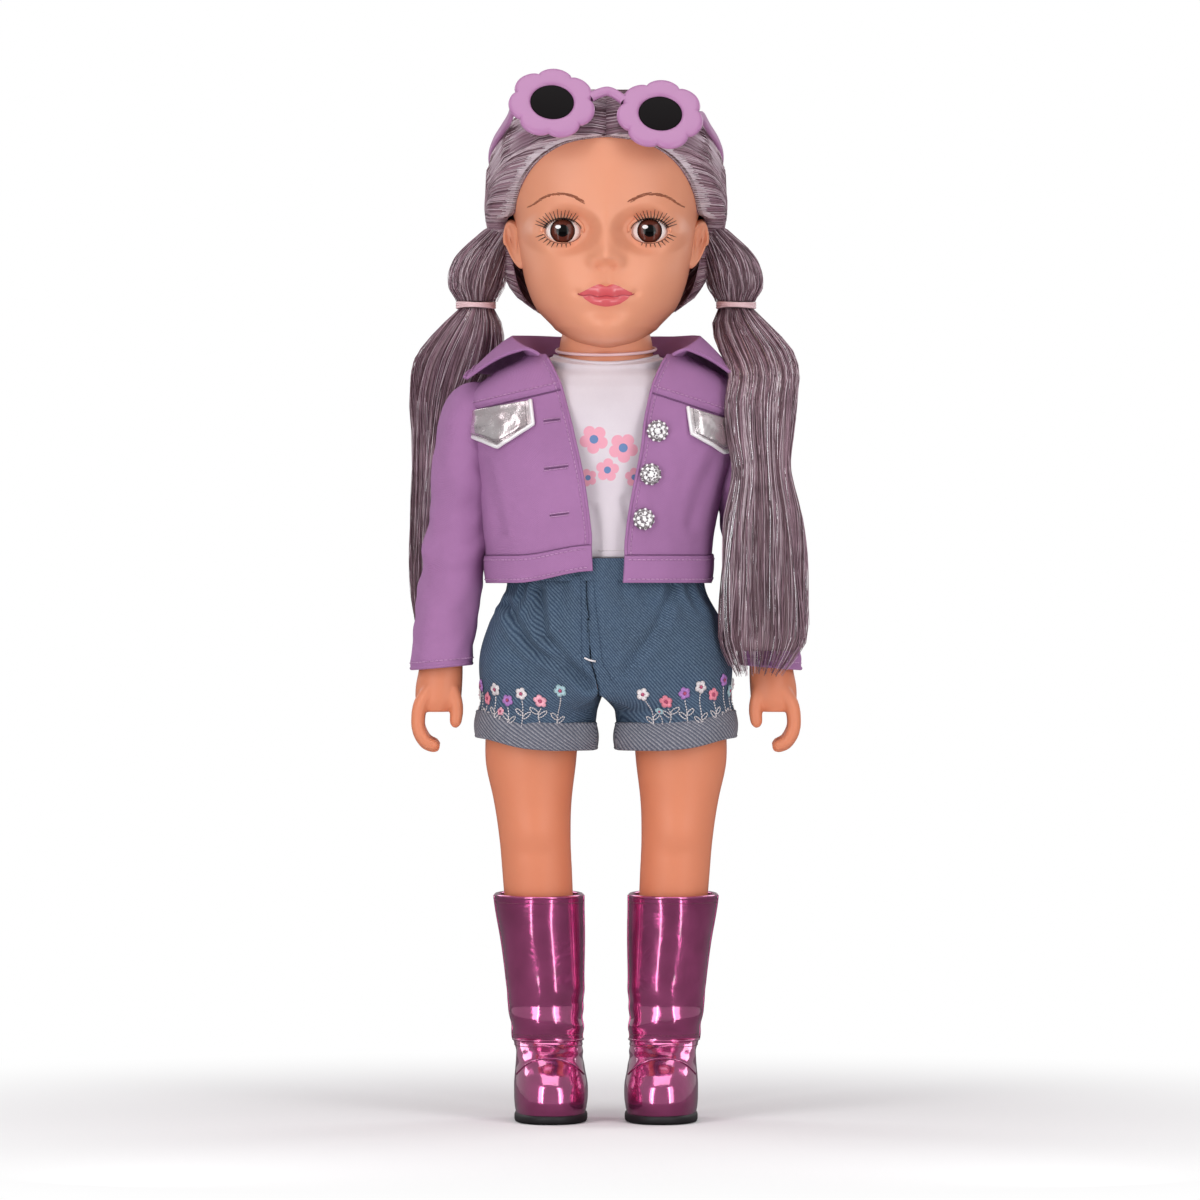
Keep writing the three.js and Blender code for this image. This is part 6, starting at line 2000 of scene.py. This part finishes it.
def make_arms():
    """One moulded arm and hand: the fingers melt into the palm."""
    for name, side in SIDES:
        points, faces = [], []

        def add(part):
            start = len(points)
            points.extend([mirrored(p, side) for p in part[0]])
            faces.extend([tuple(index + start for index in face) for face in part[1]])

        rings = []
        heights = [182 + 142 * k / 60 for k in range(61)]
        for z in heights:
            rings += [ARM.at(k / 28 * TURN, z) for k in range(28)]
        add((rings, closed_tube(28, len(heights))))
        for i in range(4):
            y = (i - 1.5) * 5.3
            s = abs(i - 1) * 0.8
            add(finger([(78.2, y * 0.9, 193), (82.6, y, 186), (84.0, y, 179.5), (83.6, y, 173 + s),
                        (80.6, y, 168.0 + s), (76.8, y, 166.2 + s)], [3.2, 3.3, 3.05, 2.95, 2.8, 2.5]))
        add(finger([(70.5, -4.5, 195), (67.8, -6.4, 188), (66.8, -6.8, 182.5), (67.2, -7.0, 177.5)],
                   [3.9, 3.5, 3.1, 2.7]))
        arm = make_object(f"arm_skin_{name}", points, faces, "limb", None)
        melt = arm.modifiers.new("melt", "REMESH")
        melt.mode = "VOXEL"
        melt.voxel_size = 0.62 * MM
        melt.use_smooth_shade = True
        soften = arm.modifiers.new("soften", "SMOOTH")
        soften.factor = 0.5
        soften.iterations = 7
        apply_modifiers(arm)
        face_outward(arm)
        arm.data.polygons.foreach_set("use_smooth", [True] * len(arm.data.polygons))
        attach(arm, f"arm_{name}")
        stands_for(f"arm_{name}")


def make_legs():
    for name, side in SIDES:
        leg = sheet_of(f"leg_skin_{name}", lambda u, v: mirrored(LEG.at(u * TURN, 57 + 171 * v), side),
                       72, 120, True, "limb", f"leg_{name}", caps=True)
        stands_for(f"leg_{name}")


# Boots

SHAFT_ROWS = full_rows([
    (z, x, y, 19.5 * wide, 19.5 * deep, 2.1)
    for z, x, y, wide, deep in (
        (31, 25.9, 0.4, 0.78, 0.92), (35.9, 26.1, 1.2, 0.8, 0.92), (57, 26.9, 2, 0.87, 0.97),
        (78, 28.3, 2, 0.94, 1.02), (100.4, 29.9, 2, 1, 1.06),
    )
])
FOOT_ROWS = full_rows([
    (z, x, y, 16.6 * wide, 32.5 * length, 2.3)
    for z, x, y, wide, length in (
        (3.2, 24.6, -8, 0.93, 0.965), (6, 24.6, -8, 0.97, 0.99), (10, 24.6, -8, 1, 1),
        (16, 24.7, -7.6, 0.99, 0.97),
        (21, 24.9, -6.2, 0.95, 0.9), (25, 25.1, -4.6, 0.92, 0.81), (29, 25.4, -2.6, 0.9, 0.72),
        (35.6, 26, 1, 0.93, 0.57), (37, 26, 1.1, 0.92, 0.56),
    )
])


# Share of the full outline, and height
SOLE_EDGE = ((0.94, 0.0), (0.985, 0.25), (1.0, 1.0), (1.0, 2.6), (0.985, 3.5), (0.95, 3.9))


def shaft_creases(x, y, z):
    low = exp(-((z - 42) / 13) ** 2)
    lift = 1.5 * low * noise.noise(Vector((x / 26, y / 26 + 3, z / 6.5)))
    return lift + 0.9 * noise.noise(Vector((x / 15 + 9, y / 15, z / 30)))


def foot_creases(x, y, z):
    ankle = smooth_step((z - 20) / 10)
    fine = 0.9 * ankle * noise.noise(Vector((x / 12, y / 12, z / 5)))
    return fine + 0.4 * noise.noise(Vector((x / 12, y / 14, z / 12)))


SHAFT = Form(SHAFT_ROWS, shaft_creases)
FOOT = Form(FOOT_ROWS, foot_creases)


def boot_point(form, side, angle, z, lift=0.0):
    return mirrored(form.at(angle, z, lift), side)


def make_boots():
    for name, side in SIDES:
        body = f"leg_{name}"

        def shaft(u, v):
            angle = u * TURN
            return boot_point(SHAFT, side, angle, 33.5 + (66.5 + 0.8 * sin(angle)) * v)

        def foot(u, v):
            return boot_point(FOOT, side, u * TURN, 3.4 + 32.4 * v)

        def ring(form, z, lift, count):
            return [boot_point(form, side, a, z, lift) for a in turns(count)]

        upper = sheet_of(f"boot_upper_{name}", shaft, 110, 110, True, "boot", body)
        vamp = sheet_of(f"boot_vamp_{name}", foot, 130, 60, True, "boot", body)
        for piece in (upper, vamp):
            thicken(piece, mm("leather"))
        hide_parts(f"boot_shaft_{name}")
        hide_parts(f"boot_foot_{name}")

        top = [boot_point(SHAFT, side, a, 100 + 0.8 * sin(a), -0.6) for a in turns(90)]
        toe = [boot_point(FOOT, side, radians(200 + 140 * t), 21 + 7.5 * sin(pi * t), 0.12)
               for t in shares(60)]
        seams = [("ankle_seam", ring(FOOT, 35.6, 0.15, 90), 0.5, 6), ("boot_rim", top, 0.85, 8)]
        lines = [tubes(f"{kind}_{name}", [run], radius, sides, "boot", body)
                 for kind, run, radius, sides in seams]
        for kind, form, z, lift in (("ankle_stitches_{}_38", SHAFT, 38.0, 0.05),
                                    ("ankle_stitches_{}_33", FOOT, 33.2, 0.1),
                                    ("rim_stitches_{}", SHAFT, 96.8, 0.05)):
            run = ring(form, z, lift, 120)
            lines.append(stitches(kind.format(name), run, 1.7, 1.2, 0.16, "boot_thread", body))
        for number, angle in enumerate((0.0, pi)):
            run = [boot_point(SHAFT, side, angle, z, 0.15) for z in range(36, 101)]
            lines.append(tubes(f"side_seam_{name}_{number}", [run], 0.45, 6, "boot", body))
        lines.append(tubes(f"toe_seam_{name}", [toe], 0.36, 6, "boot", body))

        def edge(u, v):
            share, z = SOLE_EDGE[round(v * 5)]
            x = 24.6 + signed_power(cos(u * TURN), 2 / 2.3) * 16.3 * share
            y = -8 + signed_power(sin(u * TURN), 2 / 2.3) * 32.3 * share
            return mirrored((x, y, z), side)

        sole = sheet_of(f"sole_{name}", edge, 120, 6, True, "sole", body, caps=True)
        stands_for(f"boot_sole_{name}")


# Stage


def area_lamp(name, place, target, size, power):
    data = bpy.data.lights.new(name, "AREA")
    data.shape = "RECTANGLE"
    data.size, data.size_y = size[0] * MM, size[1] * MM
    data.energy = power
    lamp = bpy.data.objects.new(name, data)
    bpy.context.scene.collection.objects.link(lamp)
    lamp.location = Vector(place) * MM
    lamp.rotation_euler = (Vector(target) * MM - lamp.location).to_track_quat("-Z", "Y").to_euler()
    return lamp


def either(tree, share, first, second):
    """One shader or another by a share."""
    return put(tree, "ShaderNodeMixShader", {0: share, 1: first.outputs[0], 2: second.outputs[0]})


def floor_material():
    """Pale round the doll; away from it the camera sees plain white, as in a studio sweep."""
    material, tree, shader = start_material("pale floor", Roughness=0.9)
    shader.inputs["Specular IOR Level"].default_value = 0.2
    path = put(tree, "ShaderNodeLightPath")
    tone = blended(tree, path.outputs["Is Glossy Ray"], linear(240, 238, 239), linear(112, 104, 110))
    tree.links.new(tone, shader.inputs["Base Color"])
    place = object_place(tree)
    apart = put(tree, "ShaderNodeVectorMath", {0: place}, operation="LENGTH").outputs["Value"]
    far = put(tree, "ShaderNodeMapRange", {
        "Value": apart, "From Min": 0.13, "From Max": 0.5,
    }, interpolation_type="SMOOTHSTEP").outputs[0]
    share = times(tree, far, path.outputs["Is Camera Ray"])
    white = put(tree, "ShaderNodeEmission", {"Color": (1, 1, 1, 1), "Strength": 1.0})
    mixed = either(tree, share, shader, white)
    tree.links.new(mixed.outputs[0], tree.nodes["Material Output"].inputs["Surface"])
    return material


def make_stage():
    reach = 6000
    corners = [(-reach, -reach, -0.2), (reach, -reach, -0.2), (reach, reach, -0.2), (-reach, reach, -0.2)]
    FINISHES["floor"] = floor_material()
    floor = make_object("floor", corners, [(0, 1, 2, 3)], "floor", None)

    camera_data = bpy.data.cameras.new("camera")
    camera_data.sensor_fit = "HORIZONTAL"
    camera_data.sensor_width = 36
    camera_data.lens = 36 * mm("camera_distance") / mm("view_width")
    camera = bpy.data.objects.new("camera", camera_data)
    bpy.context.scene.collection.objects.link(camera)
    camera.location = Vector((-2.7, -mm("camera_distance"), mm("camera_height"))) * MM
    camera.rotation_euler = (pi / 2, 0, 0)
    bpy.context.scene.camera = camera

    area_lamp("left box", (-620, -850, 570), (0, 0, 260), (420, 1050), 3.9)
    area_lamp("right box", (620, -850, 560), (0, 0, 260), (420, 1050), 3.1)
    area_lamp("top box", (0, -250, 1250), (0, 0, 200), (900, 700), 3.5)
    for name, side in SIDES:
        strip = area_lamp(f"{name} strip", (side * 190, -330, 190), (side * 20, 0, 120), (34, 380), 0.15)
        strip.visible_camera = False
    area_lamp("back left", (-700, 600, 700), (0, 0, 250), (400, 600), 2.0)
    area_lamp("back right", (700, 600, 700), (0, 0, 250), (400, 600), 2.0)

    world = bpy.data.worlds.new("room light")
    world.use_nodes = True
    tree = world.node_tree
    tree.nodes.clear()
    path = put(tree, "ShaderNodeLightPath")
    plain = put(tree, "ShaderNodeBackground", {"Color": linear(244, 242, 244), "Strength": 0.42})
    white = put(tree, "ShaderNodeBackground", {"Color": (1, 1, 1, 1), "Strength": 1.0})
    dim = put(tree, "ShaderNodeBackground", {"Color": (1, 1, 1, 1), "Strength": 0.32})
    shown = either(tree, path.outputs["Is Camera Ray"], plain, white)
    mixed = either(tree, path.outputs["Is Glossy Ray"], shown, dim)
    put(tree, "ShaderNodeOutputWorld", {"Surface": mixed.outputs[0]})
    bpy.context.scene.world = world
    bpy.context.scene.view_settings.view_transform = "Standard"


# Operators

class DollFinishes(bpy.types.Operator):
    """Makes the materials from the chosen colours"""
    bl_idname = "doll.finishes"
    bl_label = "Finishes"

    def execute(self, context):
        make_finishes()
        return {"FINISHED"}


class DollTorso(bpy.types.Operator):
    """Gives the torso, the hip rod and the eye cups their finish"""
    bl_idname = "doll.torso"
    bl_label = "Torso"

    def execute(self, context):
        make_torso()
        return {"FINISHED"}


class DollHead(bpy.types.Operator):
    """Makes the head shell with its ears"""
    bl_idname = "doll.head"
    bl_label = "Head"

    def execute(self, context):
        make_head()
        return {"FINISHED"}


class DollFacePaint(bpy.types.Operator):
    """Paints lips, brows, lid lines and lower lashes"""
    bl_idname = "doll.face_paint"
    bl_label = "Face paint"

    def execute(self, context):
        make_face_paint()
        return {"FINISHED"}


class DollEyes(bpy.types.Operator):
    """Makes the eyes and their bristle lashes"""
    bl_idname = "doll.eyes"
    bl_label = "Sleeping eyes"

    def execute(self, context):
        make_eyes()
        return {"FINISHED"}


class DollHair(bpy.types.Operator):
    """Combs the hair cap from its parting to the sides"""
    bl_idname = "doll.hair"
    bl_label = "Combed hair"

    def execute(self, context):
        make_hair()
        return {"FINISHED"}


class DollBunches(bpy.types.Operator):
    """Makes both bunches and tails with their elastics"""
    bl_idname = "doll.bunches"
    bl_label = "Bunches"

    def execute(self, context):
        make_bunches()
        return {"FINISHED"}


class DollGlasses(bpy.types.Operator):
    """Makes the flower-shaped glasses"""
    bl_idname = "doll.glasses"
    bl_label = "Glasses"

    def execute(self, context):
        make_sunglasses()
        return {"FINISHED"}


class DollTee(bpy.types.Operator):
    """Makes the printed T-shirt"""
    bl_idname = "doll.tee"
    bl_label = "T-shirt"

    def execute(self, context):
        make_tee()
        return {"FINISHED"}


class DollJacket(bpy.types.Operator):
    """Makes the jacket's body, waistband and seams"""
    bl_idname = "doll.jacket"
    bl_label = "Jacket body"

    def execute(self, context):
        make_jacket_body()
        return {"FINISHED"}


class DollCollar(bpy.types.Operator):
    """Makes the turned-down collar"""
    bl_idname = "doll.collar"
    bl_label = "Collar"

    def execute(self, context):
        make_collar()
        return {"FINISHED"}


class DollFlaps(bpy.types.Operator):
    """Makes the silver pocket flaps"""
    bl_idname = "doll.flaps"
    bl_label = "Pocket flaps"

    def execute(self, context):
        make_flaps()
        return {"FINISHED"}


class DollButtons(bpy.types.Operator):
    """Makes the stone-set buttons"""
    bl_idname = "doll.buttons"
    bl_label = "Buttons"

    def execute(self, context):
        make_buttons()
        return {"FINISHED"}


class DollSleeves(bpy.types.Operator):
    """Makes both sleeves with their hems"""
    bl_idname = "doll.sleeves"
    bl_label = "Sleeves"

    def execute(self, context):
        make_sleeves()
        return {"FINISHED"}


class DollShorts(bpy.types.Operator):
    """Makes the embroidered denim shorts"""
    bl_idname = "doll.shorts"
    bl_label = "Shorts"

    def execute(self, context):
        make_shorts()
        return {"FINISHED"}


class DollCuffs(bpy.types.Operator):
    """Makes the turned-up cuffs of the shorts"""
    bl_idname = "doll.cuffs"
    bl_label = "Cuffs"

    def execute(self, context):
        make_cuffs()
        return {"FINISHED"}


class DollArms(bpy.types.Operator):
    """Makes both moulded arms with their hands"""
    bl_idname = "doll.arms"
    bl_label = "Arms"

    def execute(self, context):
        make_arms()
        return {"FINISHED"}


class DollLegs(bpy.types.Operator):
    """Makes both moulded legs"""
    bl_idname = "doll.legs"
    bl_label = "Legs"

    def execute(self, context):
        make_legs()
        return {"FINISHED"}


class DollBoots(bpy.types.Operator):
    """Makes both foil leather boots"""
    bl_idname = "doll.boots"
    bl_label = "Boots"

    def execute(self, context):
        make_boots()
        return {"FINISHED"}


class DollStage(bpy.types.Operator):
    """Makes the floor, the camera and the lamps"""
    bl_idname = "doll.stage"
    bl_label = "Stage"

    def execute(self, context):
        make_stage()
        return {"FINISHED"}


OPERATORS = (
    DollFinishes, DollTorso, DollHead, DollFacePaint, DollEyes, DollHair, DollBunches, DollGlasses,
    DollTee, DollJacket, DollCollar, DollFlaps, DollButtons, DollSleeves, DollShorts, DollCuffs,
    DollArms, DollLegs, DollBoots, DollStage,
)


class DollPanel(bpy.types.Panel):
    """Lists the doll's sizes, colours and pieces"""
    bl_idname = "VIEW3D_PT_doll"
    bl_label = "Vinyl play doll"
    bl_space_type = "VIEW_3D"
    bl_region_type = "UI"
    bl_category = "Doll"

    def draw(self, context):
        for group in (context.scene.doll_sizes, context.scene.doll_colours):
            box = self.layout.box()
            for name in type(group).__annotations__:
                box.prop(group, name)
        for operator in OPERATORS:
            self.layout.operator(operator.bl_idname)


CLASSES = (DollColours, DollSizes, *OPERATORS, DollPanel)


def register():
    for item in CLASSES:
        bpy.utils.register_class(item)
    bpy.types.Scene.doll_colours = bpy.props.PointerProperty(type=DollColours)
    bpy.types.Scene.doll_sizes = bpy.props.PointerProperty(type=DollSizes)


def unregister():
    del bpy.types.Scene.doll_sizes
    del bpy.types.Scene.doll_colours
    for item in reversed(CLASSES):
        bpy.utils.unregister_class(item)


def main():
    register()
    for operator in OPERATORS:
        name = operator.bl_idname.split(".")[1]
        getattr(bpy.ops.doll, name)()


if __name__ == "__main__":
    main()
